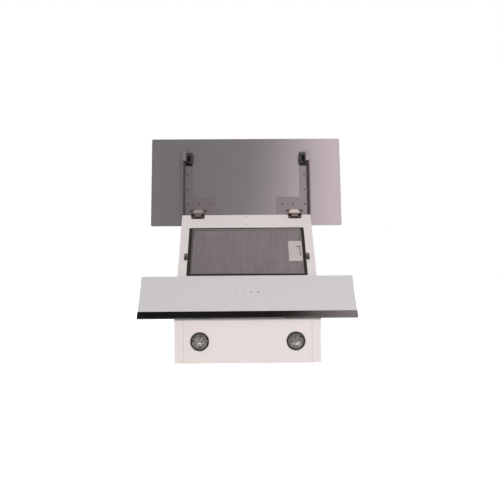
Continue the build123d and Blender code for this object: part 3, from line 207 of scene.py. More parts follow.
# %% [markdown]
# ## Three soft lamps
# A studio has wide diffusers, whose shadows have soft edges. A point lamp with a large radius would do much
# the same, but an area lamp also says where it faces. One on the right makes the soft shadows, one near the
# camera brightens what faces it, and one above lights the top in other views. The front one is hidden from
# what shines, because its mirror image would cross the open flap, and the photograph has none there.

# %% Lamps
KEY_PLACE = Vector((1.15, -2.05, -1.55))
KEY_AIM = Vector((0, -0.3, -0.05))
KEY_SIZE = 1.1
KEY_POWER = 4.0
FRONT_PLACE = Vector((0.12, -0.75, -2.35))
FRONT_SIZE = 0.8
FRONT_POWER = 26.0
TOP_PLACE = Vector((0.3, -1.6, 2.0))
TOP_AIM = Vector((0, -0.3, 0.1))
TOP_SIZE = 1.4
TOP_POWER = 25.0


def area_lamp(name, place, aim, size, power):
    """A square lamp, in metres and watts, that faces what it is aimed at."""
    data = bpy.data.lights.new(name, "AREA")
    data.shape = "SQUARE"
    data.size = size
    data.energy = power
    lamp = bpy.data.objects.new(name, data)
    bpy.context.scene.collection.objects.link(lamp)
    lamp.location = place
    lamp.rotation_euler = (aim - place).to_track_quat("-Z", "Y").to_euler()
    return lamp


key_lamp = area_lamp("key_lamp", KEY_PLACE, KEY_AIM, KEY_SIZE, KEY_POWER)
front_lamp = area_lamp("front_lamp", FRONT_PLACE, KEY_AIM, FRONT_SIZE, FRONT_POWER)
front_lamp.visible_glossy = False
top_lamp = area_lamp("top_lamp", TOP_PLACE, TOP_AIM, TOP_SIZE, TOP_POWER)
print("lamps:", [lamp.name for lamp in (key_lamp, front_lamp, top_lamp)])

# %% [markdown]
# ## The surface it lies on
# In the photograph the hood lies on its back on a white table. A closed studio cove could stand in for it,
# but it would block views of the hood's back. A large pale sheet is enough. The camera sees it white with a
# faint shadow, and it is clear from behind. The back panel lies a millimetre above it, where hardly any
# light gets in, so rays that end within a few millimetres meet a lit sheet.

# %% Table sheet
TABLE_SIZE = 6.0
TABLE_GAP = 1.0 * MM
TABLE_TONE = 0.82
TABLE_GLOW = 0.9
NEAR_GLOW = 0.85
NEAR_REACH = 8.0 * MM


def table_material():
    """Pale paint for light, white for the camera, lit for rays that end close by, clear from behind."""
    mat = bpy.data.materials.new("pale_table")
    mat.use_nodes = True
    tree = mat.node_tree
    tree.nodes.clear()
    paint = node(tree, "ShaderNodeBsdfDiffuse")
    set_inputs(paint, Color=(TABLE_TONE, TABLE_TONE, TABLE_TONE, 1))
    camera_glow = node(tree, "ShaderNodeEmission")
    set_inputs(camera_glow, Strength=TABLE_GLOW)
    near_glow = node(tree, "ShaderNodeEmission")
    set_inputs(near_glow, Strength=NEAR_GLOW)
    clear = node(tree, "ShaderNodeBsdfTransparent")
    path = node(tree, "ShaderNodeLightPath")
    side = node(tree, "ShaderNodeNewGeometry")
    seen_white = node(tree, "ShaderNodeAddShader")
    for_camera, for_near, from_behind = (node(tree, "ShaderNodeMixShader") for _ in range(3))
    close = node(tree, "ShaderNodeMath", operation="LESS_THAN")
    close.inputs[1].default_value = NEAR_REACH
    out = node(tree, "ShaderNodeOutputMaterial")
    wire(
        tree,
        (path, "Ray Length", close, 0),
        (close, 0, for_near, "Fac"),
        (paint, 0, for_near, 1),
        (near_glow, 0, for_near, 2),
        (paint, 0, seen_white, 0),
        (camera_glow, 0, seen_white, 1),
        (path, "Is Camera Ray", for_camera, "Fac"),
        (for_near, 0, for_camera, 1),
        (seen_white, 0, for_camera, 2),
        (side, "Backfacing", from_behind, "Fac"),
        (for_camera, 0, from_behind, 1),
        (clear, 0, from_behind, 2),
        (from_behind, 0, out, "Surface"),
    )
    return mat


half = TABLE_SIZE / 2
table_mesh = bpy.data.meshes.new("table")
corners = [(x * half, TABLE_GAP, z * half) for x, z in ((-1, -1), (1, -1), (1, 1), (-1, 1))]
table_mesh.from_pydata(corners, [], [(0, 1, 2, 3)])
table = bpy.data.objects.new("table", table_mesh)
table.data.materials.append(table_material())
bpy.context.scene.collection.objects.link(table)
print("table normal", tuple(round(value) for value in table.data.polygons[0].normal))

# %% [markdown]
# ## Shared surface effects
# No real surface is one flat colour. A picture of each surface could show that, but it has one size and
# repeats. A small shader group makes the two changes that most finishes need: a soft blotch, and a fine
# grain that can be stretched into brush lines. It is made once, and each material sets its own sizes.

# %% Grain group
BLOTCH_SCALE = 12.0
GRAIN_SCALE = 900.0


def new_group(name, takes, gives):
    """An empty shader group. It takes vectors and numbers with these start values, and gives numbers."""
    tree = bpy.data.node_groups.new(name, "ShaderNodeTree")
    for label, value in takes.items():
        kind = "NodeSocketFloat" if isinstance(value, float) else "NodeSocketVector"
        tree.interface.new_socket(label, in_out="INPUT", socket_type=kind).default_value = value
    for label in gives:
        tree.interface.new_socket(label, in_out="OUTPUT", socket_type="NodeSocketFloat")
    return tree, node(tree, "NodeGroupInput"), node(tree, "NodeGroupOutput")


def grain_group():
    """Object place in; a soft blotch and a fine grain out, both from 0 to 1."""
    takes = {"Place": (0, 0, 0), "Stretch": (1, 1, 1)}
    takes.update({"Blotch Scale": BLOTCH_SCALE, "Grain Scale": GRAIN_SCALE})
    tree, inside, outside = new_group("Blotch And Grain", takes, ("Blotch", "Grain"))
    blotch = node(tree, "ShaderNodeTexNoise")
    set_inputs(blotch, Detail=2.0, Roughness=0.5)
    grain = node(tree, "ShaderNodeTexNoise")
    set_inputs(grain, Detail=3.0, Roughness=0.6)
    stretched = node(tree, "ShaderNodeVectorMath", operation="MULTIPLY")
    wire(
        tree,
        (inside, "Place", blotch, "Vector"),
        (inside, "Blotch Scale", blotch, "Scale"),
        (inside, "Place", stretched, 0),
        (inside, "Stretch", stretched, 1),
        (stretched, 0, grain, "Vector"),
        (inside, "Grain Scale", grain, "Scale"),
        (blotch, "Fac", outside, "Blotch"),
        (grain, "Fac", outside, "Grain"),
    )
    return tree


GRAIN = grain_group()
print("group:", GRAIN.name, "with", len(GRAIN.nodes), "nodes")

# %% [markdown]
# ## Metal, paint and plastic
# The casing is white enamel, sprayed and baked, which leaves a faint orange-peel texture. Each finish could
# be built by hand, node by node, but they would drift apart. So every metal, paint and plastic below is the
# same recipe with its own two tones, grain and shine.

# %% Recipe of a finish
RUB = 0.06
SMOOTHEST = 0.02
RELIEF = 0.1 * MM


def linear(red, green, blue):
    """Screen values from 0 to 255, as the light that Blender works in."""
    def one(value):
        value /= 255
        return value / 12.92 if value <= 0.04045 else ((value + 0.055) / 1.055) ** 2.4
    return (one(red), one(green), one(blue), 1)


def finish_of(
    name,
    pale,
    dark,
    rough,
    metal=0.0,
    bump=0.15,
    grain=GRAIN_SCALE,
    blotch=BLOTCH_SCALE,
    stretch=(1, 1, 1),
    ior=1.45,
):
    """A procedural finish: colour between two tones, and roughness and bump from the same grain."""
    mat = bpy.data.materials.new(name)
    mat.use_nodes = True
    tree = mat.node_tree
    shader = tree.nodes["Principled BSDF"]
    set_inputs(shader, Metallic=metal, IOR=ior)
    place = node(tree, "ShaderNodeTexCoord")
    effect = node(tree, "ShaderNodeGroup", node_tree=GRAIN)
    set_inputs(effect, Blotch_Scale=blotch, Grain_Scale=grain, Stretch=stretch)
    tone = node(tree, "ShaderNodeMix", data_type="RGBA")
    set_inputs(tone, A=linear(*dark), B=linear(*pale))
    rub = node(tree, "ShaderNodeMapRange")
    set_inputs(rub, To_Min=max(rough - RUB, SMOOTHEST), To_Max=rough + RUB)
    relief = node(tree, "ShaderNodeBump")
    set_inputs(relief, Strength=bump, Distance=RELIEF)
    wire(
        tree,
        (place, "Object", effect, "Place"),
        (effect, "Blotch", tone, "Factor"),
        (tone, "Result", shader, "Base Color"),
        (effect, "Grain", rub, "Value"),
        (rub, "Result", shader, "Roughness"),
        (effect, "Grain", relief, "Height"),
        (relief, "Normal", shader, "Normal"),
    )
    return mat


def dress(mat, *names):
    """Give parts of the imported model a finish."""
    for name in names:
        part = frame["nodes"][name]
        part.data.materials.clear()
        part.data.materials.append(mat)
    print(mat.name, "on", ", ".join(names))


# %% Casing enamel
enamel = finish_of("white_enamel", (230, 221, 221), (224, 215, 214), 0.38, bump=0.05, grain=700, blotch=5)
dress(enamel, "back_panel", "top_panel", "front_frame")

# %% [markdown]
# ## Seams of the bottom
# The side panels fold under the hood and meet its bottom panel in a narrow gap near each edge, which shows
# as a thin grey line of shade. It could be cut as a groove, but the imported meshes stay as they are, and
# the line is under two millimetres wide. So the enamel is darkened as painted shade where a point lies as
# far from the middle as the seam does.

# %% Seams of the bottom
SEAM_X = 175.4 * MM
SEAM_HALF = 0.8 * MM
SEAM_SHADE_TONE = 0.8


def tint_by(mat, mask, tone):
    """Multiply the colour of a finish by a tone, where the mask says so."""
    tree = mat.node_tree
    shader = tree.nodes["Principled BSDF"]
    colour = shader.inputs["Base Color"].links[0].from_socket
    tint = node(tree, "ShaderNodeMix", data_type="RGBA", blend_type="MULTIPLY")
    set_inputs(tint, B=(tone, tone, tone, 1))
    wire(tree, (mask, tint, "Factor"), (colour, tint, "A"), (tint, "Result", shader, "Base Color"))


seamed = finish_of("seamed_enamel", (235, 225, 223), (229, 219, 216), 0.38, bump=0.05, grain=700, blotch=5)
tree = seamed.node_tree
axes = node(tree, "ShaderNodeSeparateXYZ")
from_middle = node(tree, "ShaderNodeMath", operation="ABSOLUTE")
seam = node(tree, "ShaderNodeMath", operation="COMPARE")
seam.inputs[1].default_value = SEAM_X
seam.inputs[2].default_value = SEAM_HALF
wire(
    tree,
    (tree.nodes["Texture Coordinate"], "Object", axes, 0),
    (axes, "X", from_middle, 0),
    (from_middle, 0, seam, 0),
)
# Painted shade: the enamel is darkened along the gap of each seam.
tint_by(seamed, seam.outputs[0], SEAM_SHADE_TONE)
dress(seamed, "side_panel_left", "side_panel_right", "light_panel")

# %% [markdown]
# ## Brackets, hinges and screws
# The hinges are bright plated steel, the rails and straps are dull zinc, and the studs are turned brass. A
# perfect mirror would show the studio too sharply, so each metal has some roughness, and its grain is
# stretched where a plate was brushed. Rivets and pins have a tone of their own, as they show darker.

# %% Brackets, hinges and screws
zinc = finish_of(
    "dull_zinc", (158, 150, 147), (142, 134, 131), 0.3, metal=0.7, bump=0.25, grain=500, blotch=60
)
dress(zinc, "lower_glass_rail_left", "lower_glass_rail_right")
dress(zinc, "blower_strap", "motor_cradle", "blower_screws")
bright_plate = finish_of(
    "bright_plate", (226, 214, 209), (204, 192, 188), 0.22, metal=0.6, bump=0.1, stretch=(0.05, 1, 1)
)
dress(bright_plate, "hinge_caps")
leaf_steel = finish_of(
    "leaf_steel", (140, 128, 120), (118, 107, 100), 0.35, metal=0.75, bump=0.15, blotch=120
)
dress(leaf_steel, "hinge_left_flap_leaf", "hinge_right_flap_leaf")
fastener = finish_of("screw_steel", (190, 184, 178), (150, 144, 139), 0.3, metal=0.9, bump=0.1, blotch=200)
dress(fastener, "hinge_body_rivets", "casing_screws")
dark_rivet = finish_of("dark_rivet", (96, 88, 84), (70, 64, 60), 0.45, metal=0.6, bump=0.1, blotch=200)
dress(dark_rivet, "bracket_rivets", "hinge_flap_screws", "hinge_pins")
# Painted shade: the body leaves are the same steel as the flap leaves, given a darker copy as painted
# shade.
dark_leaf = finish_of("dark_leaf", (86, 78, 75), (62, 56, 54), 0.4, metal=0.6, bump=0.15, blotch=120)
dress(dark_leaf, "hinge_left_body_leaf", "hinge_right_body_leaf")
ground_steel = finish_of(
    "ground_steel", (196, 194, 190), (170, 168, 165), 0.2, metal=1.0, bump=0.1, stretch=(8, 1, 1)
)
dress(ground_steel, "motor_shaft", "damper_pins", "latch_spring")
brass = finish_of("turned_brass", (132, 116, 100), (98, 84, 72), 0.35, metal=0.8, bump=0.1, blotch=150)
dress(brass, "catch_studs")

# %% [markdown]
# ## The filter and its seal
# The filter is aluminium in a rolled frame, pressed against a black foam seal. Its folded core lies behind
# the mesh, where only darkness shows. It could share the frame's bright metal, but the openings of the mesh
# then come out lighter than they are there, so the core is given a dark tone as painted shade.

# %% Filter and its seal
# Painted shade: the core and the back mesh take a dark tone for the hollow behind the mesh.
aluminium = finish_of("washed_aluminium", (40, 37, 37), (36, 34, 34), 0.6, metal=0.2, bump=0.3, blotch=25)
dress(aluminium, "filter_core", "filter_back_mesh")
frame_aluminium = finish_of(
    "rolled_aluminium", (178, 172, 169), (150, 144, 142), 0.3, metal=0.8, stretch=(1, 6, 6)
)
dress(frame_aluminium, "filter_frame")
foam = finish_of("black_foam", (52, 49, 47), (38, 36, 34), 0.9, bump=0.8, grain=1500, blotch=300)
dress(foam, "filter_gasket")
latch_grey = finish_of(
    "latch_grey", (200, 191, 189), (190, 181, 179), 0.45, bump=0.12, grain=1200, blotch=40
)
dress(latch_grey, "latch_plate")
lever_grey = finish_of(
    "lever_grey", (196, 188, 187), (187, 179, 178), 0.45, bump=0.2, grain=1400, blotch=80
)
dress(lever_grey, "latch_lever")

# %% [markdown]
# ## Plastics
# The lamp bezels, the blower, the dampers and the control box are moulded plastic. A mould leaves a fine,
# even grain, which could be sculpted but would cost many faces. A small grain in the bump and a middling
# roughness give the same soft shine.

# %% Plastics
black_plastic = finish_of(
    "black_plastic", (60, 58, 58), (46, 45, 45), 0.5, bump=0.25, grain=1600, blotch=60
)
dress(black_plastic, "cable_gland", "touch_module")
lamp_black = finish_of("lamp_black", (46, 43, 42), (36, 34, 33), 0.45, bump=0.08, grain=1600, blotch=60)
dress(lamp_black, "lamp_left_bezel", "lamp_right_bezel")
grey_plastic = finish_of("blower_grey", (98, 99, 101), (86, 87, 89), 0.55, bump=0.3, grain=1400, blotch=20)
dress(grey_plastic, "blower_half_left", "blower_half_right", "outlet_adapter", "duct_collar")
dark_plastic = finish_of("damper_grey", (66, 67, 69), (56, 57, 58), 0.5, bump=0.25, grain=1400, blotch=20)
dress(dark_plastic, "damper_front", "damper_rear", "impeller")
pale_plastic = finish_of(
    "box_grey", (176, 176, 172), (164, 164, 160), 0.5, bump=0.25, grain=1400, blotch=30
)
dress(pale_plastic, "control_box", "control_box_lid", "motor_capacitor", "lamp_left_can", "lamp_right_can")
cast_metal = finish_of(
    "motor_casting", (164, 164, 163), (138, 138, 137), 0.45, metal=0.8, bump=0.5, grain=1100, blotch=60
)
dress(cast_metal, "motor")

# %% [markdown]
# ## Glass with a printed back
# Each panel is toughened glass with colour fired onto its back, so its front looks white, its edges are
# darker and its back shows the coating. Three materials on its faces could do this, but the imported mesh
# isn't cut up here. So one group measures how deep a point lies in the sheet, and the material picks its
# colour, polish and metal from that.

# %% Depth group


def depth_group():
    """Object place and the sheet's direction in; masks for its back and its front out."""
    takes = {"Place": (0, 0, 0), "Outward": (0, 0, 0), "Back Depth": 0.0, "Front Depth": 0.0, "Margin": 0.0}
    tree, inside, outside = new_group("Sheet Sides", takes, ("Is Back", "Is Front"))
    depth = node(tree, "ShaderNodeVectorMath", operation="DOT_PRODUCT")
    back_limit = node(tree, "ShaderNodeMath", operation="ADD")
    front_limit = node(tree, "ShaderNodeMath", operation="SUBTRACT")
    is_back = node(tree, "ShaderNodeMath", operation="LESS_THAN")
    is_front = node(tree, "ShaderNodeMath", operation="GREATER_THAN")
    wire(
        tree,
        (inside, "Place", depth, 0),
        (inside, "Outward", depth, 1),
        (inside, "Back Depth", back_limit, 0),
        (inside, "Margin", back_limit, 1),
        (inside, "Front Depth", front_limit, 0),
        (inside, "Margin", front_limit, 1),
        (depth, "Value", is_back, 0),
        (back_limit, 0, is_back, 1),
        (depth, "Value", is_front, 0),
        (front_limit, 0, is_front, 1),
        (is_back, 0, outside, "Is Back"),
        (is_front, 0, outside, "Is Front"),
    )
    return tree


SHEET_SIDES = depth_group()
print("group:", SHEET_SIDES.name, "with", len(SHEET_SIDES.nodes), "nodes")

# %% Printed glass
GLASS_BACK = 16 * MM
GLASS_FRONT = 20 * MM
PRINT_DEPTH = 0.45 * MM
PRINT_IOR = 1.25
PRINT_BLOTCH = 4.0
PRINT_SPREAD = 4
GLASS_POLISH = 0.06


def printed_glass(name, outward, foot, front, back, edge, rough, metal=0.0):
    """The material of a glass panel, whose back lies GLASS_BACK in front of foot, along outward."""
    mat = bpy.data.materials.new(name)
    mat.use_nodes = True
    tree = mat.node_tree
    shader = tree.nodes["Principled BSDF"]
    set_inputs(shader, IOR=PRINT_IOR)
    start = foot.dot(outward)
    place = node(tree, "ShaderNodeTexCoord")
    sides = node(tree, "ShaderNodeGroup", node_tree=SHEET_SIDES)
    set_inputs(
        sides,
        Outward=outward,
        Back_Depth=start + GLASS_BACK,
        Front_Depth=start + GLASS_FRONT,
        Margin=PRINT_DEPTH,
    )
    effect = node(tree, "ShaderNodeGroup", node_tree=GRAIN)
    set_inputs(effect, Blotch_Scale=PRINT_BLOTCH)
    back_tone = node(tree, "ShaderNodeMix", data_type="RGBA")
    set_inputs(
        back_tone,
        A=linear(*(value - PRINT_SPREAD for value in back)),
        B=linear(*(value + PRINT_SPREAD for value in back)),
    )
    with_back = node(tree, "ShaderNodeMix", data_type="RGBA")
    set_inputs(with_back, A=linear(*edge))
    with_front = node(tree, "ShaderNodeMix", data_type="RGBA")
    set_inputs(with_front, B=linear(*front))
    polish = node(tree, "ShaderNodeMix", data_type="FLOAT")
    set_inputs(polish, A=GLASS_POLISH, B=rough)
    silvered = node(tree, "ShaderNodeMath", operation="MULTIPLY")
    silvered.inputs[1].default_value = metal
    wire(
        tree,
        (place, "Object", sides, "Place"),
        (place, "Object", effect, "Place"),
        (effect, "Blotch", back_tone, "Factor"),
        (sides, "Is Back", with_back, "Factor"),
        (back_tone, "Result", with_back, "B"),
        (sides, "Is Front", with_front, "Factor"),
        (with_back, "Result", with_front, "A"),
        (with_front, "Result", shader, "Base Color"),
        (sides, "Is Back", polish, "Factor"),
        (polish, "Result", shader, "Roughness"),
        (sides, "Is Back", silvered, 0),
        (silvered, 0, shader, "Metallic"),
    )
    return mat


# %% Glass panels
GLASS_WHITE = (209, 205, 206)
GLASS_EDGE = (92, 100, 98)
lower_glass = printed_glass(
    "lower_glass_print", OUT_FACE, FACE_FOOT, GLASS_WHITE, (198, 194, 194), GLASS_EDGE, rough=0.3
)
dress(lower_glass, "lower_glass")
flap_foot = OPEN_FLAP @ FACE_FOOT
flap_glass = printed_glass(
    "flap_glass_print", OUT_FLAP, flap_foot, GLASS_WHITE, (176, 170, 175), GLASS_EDGE, rough=0.14, metal=0.6
)
dress(flap_glass, "flap_glass")

# %% [markdown]
# ## Painted light and shade that follow depth
# A clip's mouth lies in deep shade, a bracket's tab catches more light than the plate behind it, and the
# walls of the window over the filter's latch lie in shade. Each could be a new piece. The group of the
# glass panels already tells how deep a point lies, so one helper paints this light and shade: it multiplies
# a finish by a tone behind one depth or beyond another.

# %% Shade by depth
NO_LIMIT = 1000.0


def shade_sides(mat, foot, outward, back=-NO_LIMIT, front=NO_LIMIT, back_tone=1.0, front_tone=1.0):
    """Multiply the colour of what is less than back, or more than front, in millimetres from foot, as
    painted light and shade.
    """
    tree = mat.node_tree
    start = foot.dot(outward)
    sides = node(tree, "ShaderNodeGroup", node_tree=SHEET_SIDES)
    set_inputs(sides, Outward=outward, Back_Depth=start + back * MM, Front_Depth=start + front * MM)
    wire(tree, (tree.nodes["Texture Coordinate"], "Object", sides, "Place"))
    tint_by(mat, sides.outputs["Is Back"], back_tone)
    tint_by(mat, sides.outputs["Is Front"], front_tone)
    print(mat.name, "times", back_tone, "at the back and", front_tone, "at the front")


# %% Clips, brackets and latch window
CLIP_MOUTH = 7.5
BRACKET_BACK = 6.0
TAB_EDGE = 13.5
WINDOW_WALL = -1.6

clip_plastic = finish_of("clip_plastic", (60, 58, 58), (58, 56, 56), 0.5, bump=0.25, grain=1600, blotch=60)
dress(clip_plastic, "catch_clip_left", "catch_clip_right")
# Painted shade: the clip's colour is darkened to a tenth past the depth of its mouth.
shade_sides(clip_plastic, flap_foot, OUT_FLAP, front=CLIP_MOUTH, front_tone=0.1)
bracket_zinc = finish_of(
    "bracket_zinc", (120, 114, 117), (109, 103, 106), 0.3, metal=0.62, bump=0.25, grain=500, blotch=60
)
dress(bracket_zinc, "flap_bracket_left", "flap_bracket_right")
# Painted light: the tab and the plate are brightened over the darker flange between them.
shade_sides(
    bracket_zinc, flap_foot, OUT_FLAP, back=BRACKET_BACK, front=TAB_EDGE, back_tone=2.3, front_tone=1.75
)
# Painted shade: the latch plate is darkened on the walls of its window.
shade_sides(latch_grey, FACE_FOOT, OUT_FACE, back=WINDOW_WALL, back_tone=0.12)

# %% [markdown]
# ## The dark trim
# The strip along the lower glass has a mirror-polished dark coat. It looks black where it shows the dark
# side of the room and brown-grey where it shows the pale side, so it needs a high index of refraction and
# almost no roughness, not a painted fade.

# %% Trim coat
trim_coat = finish_of(
    "dark_mirror_coat", (26, 24, 24), (20, 19, 19), 0.1, bump=0.02, grain=300, blotch=6, ior=2.3
)
dress(trim_coat, "lower_edge_trim")

# %% [markdown]
# ## The lamps
# The lamps are small spotlights. Their glass is pressed with fine pebbles, and the reflector behind it
# is made of small facets, so the lamp looks like mottled silver. Thousands of modelled pebbles would be
# slow for so small a disc. So one group makes both patterns from cells: a height for the relief, and a
# tone that differs from cell to cell.

# %% Pebble group
PEBBLE_SCALE = 420.0


def pebble_group():
    """Object place and a scale in; a rounded height and a tone for each cell out."""
    takes = {"Place": (0, 0, 0), "Scale": PEBBLE_SCALE}
    tree, inside, outside = new_group("Pebbles", takes, ("Height", "Tone"))
    cells = node(tree, "ShaderNodeTexVoronoi", feature="SMOOTH_F1")
    tones = node(tree, "ShaderNodeTexVoronoi", feature="F1")
    one_tone = node(tree, "ShaderNodeSeparateColor")
    for pattern in (cells, tones):
        wire(tree, (inside, "Place", pattern, "Vector"), (inside, "Scale", pattern, "Scale"))
    wire(
        tree,
        (cells, "Distance", outside, "Height"),
        (tones, "Color", one_tone, "Color"),
        (one_tone, "Red", outside, "Tone"),
    )
    return tree


PEBBLES = pebble_group()
print("group:", PEBBLES.name, "with", len(PEBBLES.nodes), "nodes")

# %% Reflector and lens
REFLECTOR_PALE = (216, 209, 204)
REFLECTOR_DARK = (66, 63, 61)
FACET_SCALE = 260.0
FACET_DEPTH = 0.5 * MM
PEBBLE_DEPTH = 0.2 * MM


def pebbled(name, scale, depth, strength):
    """A material with the pebble relief, with its tree, its shader and the group's node."""
    mat = bpy.data.materials.new(name)
    mat.use_nodes = True
    tree = mat.node_tree
    shader = tree.nodes["Principled BSDF"]
    place = node(tree, "ShaderNodeTexCoord")
    cells = node(tree, "ShaderNodeGroup", node_tree=PEBBLES)
    set_inputs(cells, Scale=scale)
    relief = node(tree, "ShaderNodeBump")
    set_inputs(relief, Strength=strength, Distance=depth)
    wire(
        tree,
        (place, "Object", cells, "Place"),
        (cells, "Height", relief, "Height"),
        (relief, "Normal", shader, "Normal"),
    )
    return mat, tree, shader, cells


lamp_silver, tree, shader, cells = pebbled("lamp_silver", FACET_SCALE, FACET_DEPTH, strength=0.6)
set_inputs(shader, Metallic=0.85, Roughness=0.5)
tone = node(tree, "ShaderNodeMix", data_type="RGBA")
set_inputs(tone, A=linear(*REFLECTOR_DARK), B=linear(*REFLECTOR_PALE))
wire(tree, (cells, "Tone", tone, "Factor"), (tone, "Result", shader, "Base Color"))
dress(lamp_silver, "lamp_left_reflector", "lamp_right_reflector")

lens_glass, tree, shader, cells = pebbled("lens_glass", PEBBLE_SCALE, PEBBLE_DEPTH, strength=0.35)
set_inputs(shader, Base_Color=(0.9, 0.9, 0.9, 1), Transmission_Weight=1.0, Roughness=0.2, IOR=1.46)
dress(lens_glass, "lamp_left_lens", "lamp_right_lens")

# %% [markdown]
# ## The fine filter mesh
# The real mesh is a sheet slit and stretched into diamonds a few millimetres across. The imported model
# carries a coarse one, and a flat sheet with painted holes would lose its depth from the side. So each row
# is one zigzag strand, and a node tree repeats it up the filter with every other row moved by half a
# diamond, so that the peaks meet. It is cut away under the latch plate.

# %% Tools for node trees


def number_socket(tree, label, value):
    """A named number that the tree takes."""
    socket = tree.interface.new_socket(label, in_out="INPUT", socket_type="NodeSocketFloat")
    socket.default_value = value


def math_node(tree, operation, first, second):
    """A maths node whose inputs are sockets or plain numbers."""
    made = node(tree, "ShaderNodeMath", operation=operation)
    for socket, value in zip(made.inputs, (first, second)):
        if isinstance(value, (int, float)):
            socket.default_value = value
        else:
            tree.links.new(value, socket)
    return made.outputs[0]


def end_tree(tree, shape, mat):
    """Make the copies real, give them a material and put them out."""
    whole = node(tree, "GeometryNodeRealizeInstances")
    painted = node(tree, "GeometryNodeSetMaterial")
    set_inputs(painted, Material=mat)
    outside = node(tree, "NodeGroupOutput")
    wire(tree, (shape, 0, whole, 0), (whole, 0, painted, "Geometry"), (painted, 0, outside, 0))
    print("tree:", tree.name, "with", len(tree.nodes), "nodes")
    return tree


# %% Strand, rows and cut
def point_count(tree, length, step):
    """How many points lie along a length, about a step apart."""
    gaps = math_node(tree, "ROUND", math_node(tree, "DIVIDE", length, step), 0)
    return math_node(tree, "ADD", gaps, 1)


def zigzag_strand(tree, put_in, odd):
    """One flat strand along X, whose points lie high and low by turns."""
    half_width = math_node(tree, "MULTIPLY", put_in["Width"], 0.5)
    half_cell = math_node(tree, "MULTIPLY", put_in["Cell"], 0.5)
    rise = math_node(tree, "MULTIPLY", math_node(tree, "SUBTRACT", odd, 0.5), put_in["Row"])
    start, end, offset = (node(tree, "ShaderNodeCombineXYZ") for _ in range(3))
    line = node(tree, "GeometryNodeCurvePrimitiveLine")
    points = node(tree, "GeometryNodeResampleCurve")
    bent = node(tree, "GeometryNodeSetPosition")
    level = node(tree, "GeometryNodeSetCurveNormal", mode="Z_UP")
    section = node(tree, "GeometryNodeCurvePrimitiveQuadrilateral", mode="RECTANGLE")
    strand = node(tree, "GeometryNodeCurveToMesh")
    wire(
        tree,
        (math_node(tree, "MULTIPLY", half_width, -1), start, "X"),
        (half_width, end, "X"),
        (start, 0, line, "Start"),
        (end, 0, line, "End"),
        (line, 0, points, "Curve"),
        (point_count(tree, put_in["Width"], half_cell), points, "Count"),
        (rise, offset, "Y"),
        (points, 0, bent, "Geometry"),
        (offset, 0, bent, "Offset"),
        (bent, 0, level, "Curve"),
        (put_in["Strand"], section, "Width"),
        (put_in["Sheet"], section, "Height"),
        (level, 0, strand, "Curve"),
        (section, 0, strand, "Profile Curve"),
    )
    return strand


def row_points(tree, put_in, odd):
    """A point for each row up the Y axis, with every other one moved by half a cell."""
    half_cell = math_node(tree, "MULTIPLY", put_in["Cell"], 0.5)
    foot, step, shift = (node(tree, "ShaderNodeCombineXYZ") for _ in range(3))
    rows = node(tree, "GeometryNodeMeshLine", mode="OFFSET")
    moved = node(tree, "GeometryNodeSetPosition")
    wire(
        tree,
        (math_node(tree, "MULTIPLY", put_in["Height"], -0.5), foot, "Y"),
        (put_in["Row"], step, "Y"),
        (point_count(tree, put_in["Height"], put_in["Row"]), rows, "Count"),
        (foot, 0, rows, "Start Location"),
        (step, 0, rows, "Offset"),
        (math_node(tree, "MULTIPLY", odd, half_cell), shift, "X"),
        (rows, 0, moved, "Geometry"),
        (shift, 0, moved, "Offset"),
    )
    return moved


def cut_patch(tree, put_in, whole):
    """Delete the faces past Cut Left and within Cut Height of the middle."""
    here = node(tree, "GeometryNodeInputPosition")
    split_here = node(tree, "ShaderNodeSeparateXYZ")
    wire(tree, (here, 0, split_here, 0))
    right = math_node(tree, "GREATER_THAN", split_here.outputs["X"], put_in["Cut Left"])
    height = math_node(tree, "ABSOLUTE", split_here.outputs["Y"], 0)
    near = math_node(tree, "LESS_THAN", height, put_in["Cut Height"])
    cut = node(tree, "GeometryNodeDeleteGeometry", domain="FACE")
    wire(tree, (whole, 0, cut, "Geometry"), (math_node(tree, "MULTIPLY", right, near), cut, "Selection"))
    return cut


# %% Mesh tree
MESH_CELL = 5.9
MESH_CELLS = 55
MESH_ROW = 1.8
MESH_STRAND = 0.95
MESH_SHEET = 0.45
MESH_WIDTH = MESH_CELLS * MESH_CELL
MESH_HEIGHT = 162
CUT_LEFT = 135
CUT_HEIGHT = 22


def zigzag_tree(mat):
    """Rows of zigzag strands in the XY plane, as wide and high as the inputs say."""
    tree = bpy.data.node_groups.new("Zigzag Mesh", "GeometryNodeTree")
    for label, value in (
        ("Width", MESH_WIDTH),
        ("Height", MESH_HEIGHT),
        ("Cell", MESH_CELL),
        ("Row", MESH_ROW),
        ("Strand", MESH_STRAND),
        ("Sheet", MESH_SHEET),
        ("Cut Left", CUT_LEFT),
        ("Cut Height", CUT_HEIGHT),
    ):
        number_socket(tree, label, value * MM)
    tree.interface.new_socket("Geometry", in_out="OUTPUT", socket_type="NodeSocketGeometry")
    put_in = node(tree, "NodeGroupInput").outputs
    odd = math_node(tree, "MODULO", node(tree, "GeometryNodeInputIndex").outputs[0], 2)
    copies = node(tree, "GeometryNodeInstanceOnPoints")
    whole = node(tree, "GeometryNodeRealizeInstances")
    wire(
        tree,
        (row_points(tree, put_in, odd), 0, copies, "Points"),
        (zigzag_strand(tree, put_in, odd), 0, copies, "Instance"),
        (copies, 0, whole, 0),
    )
    return end_tree(tree, cut_patch(tree, put_in, whole), mat)


# %% Plain pieces
def add_piece(name, mesh, body):
    """Let a mesh ride on a body as a piece."""
    piece = bpy.data.objects.new(name, mesh)
    bpy.context.scene.collection.objects.link(piece)
    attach(piece, body)
    return piece


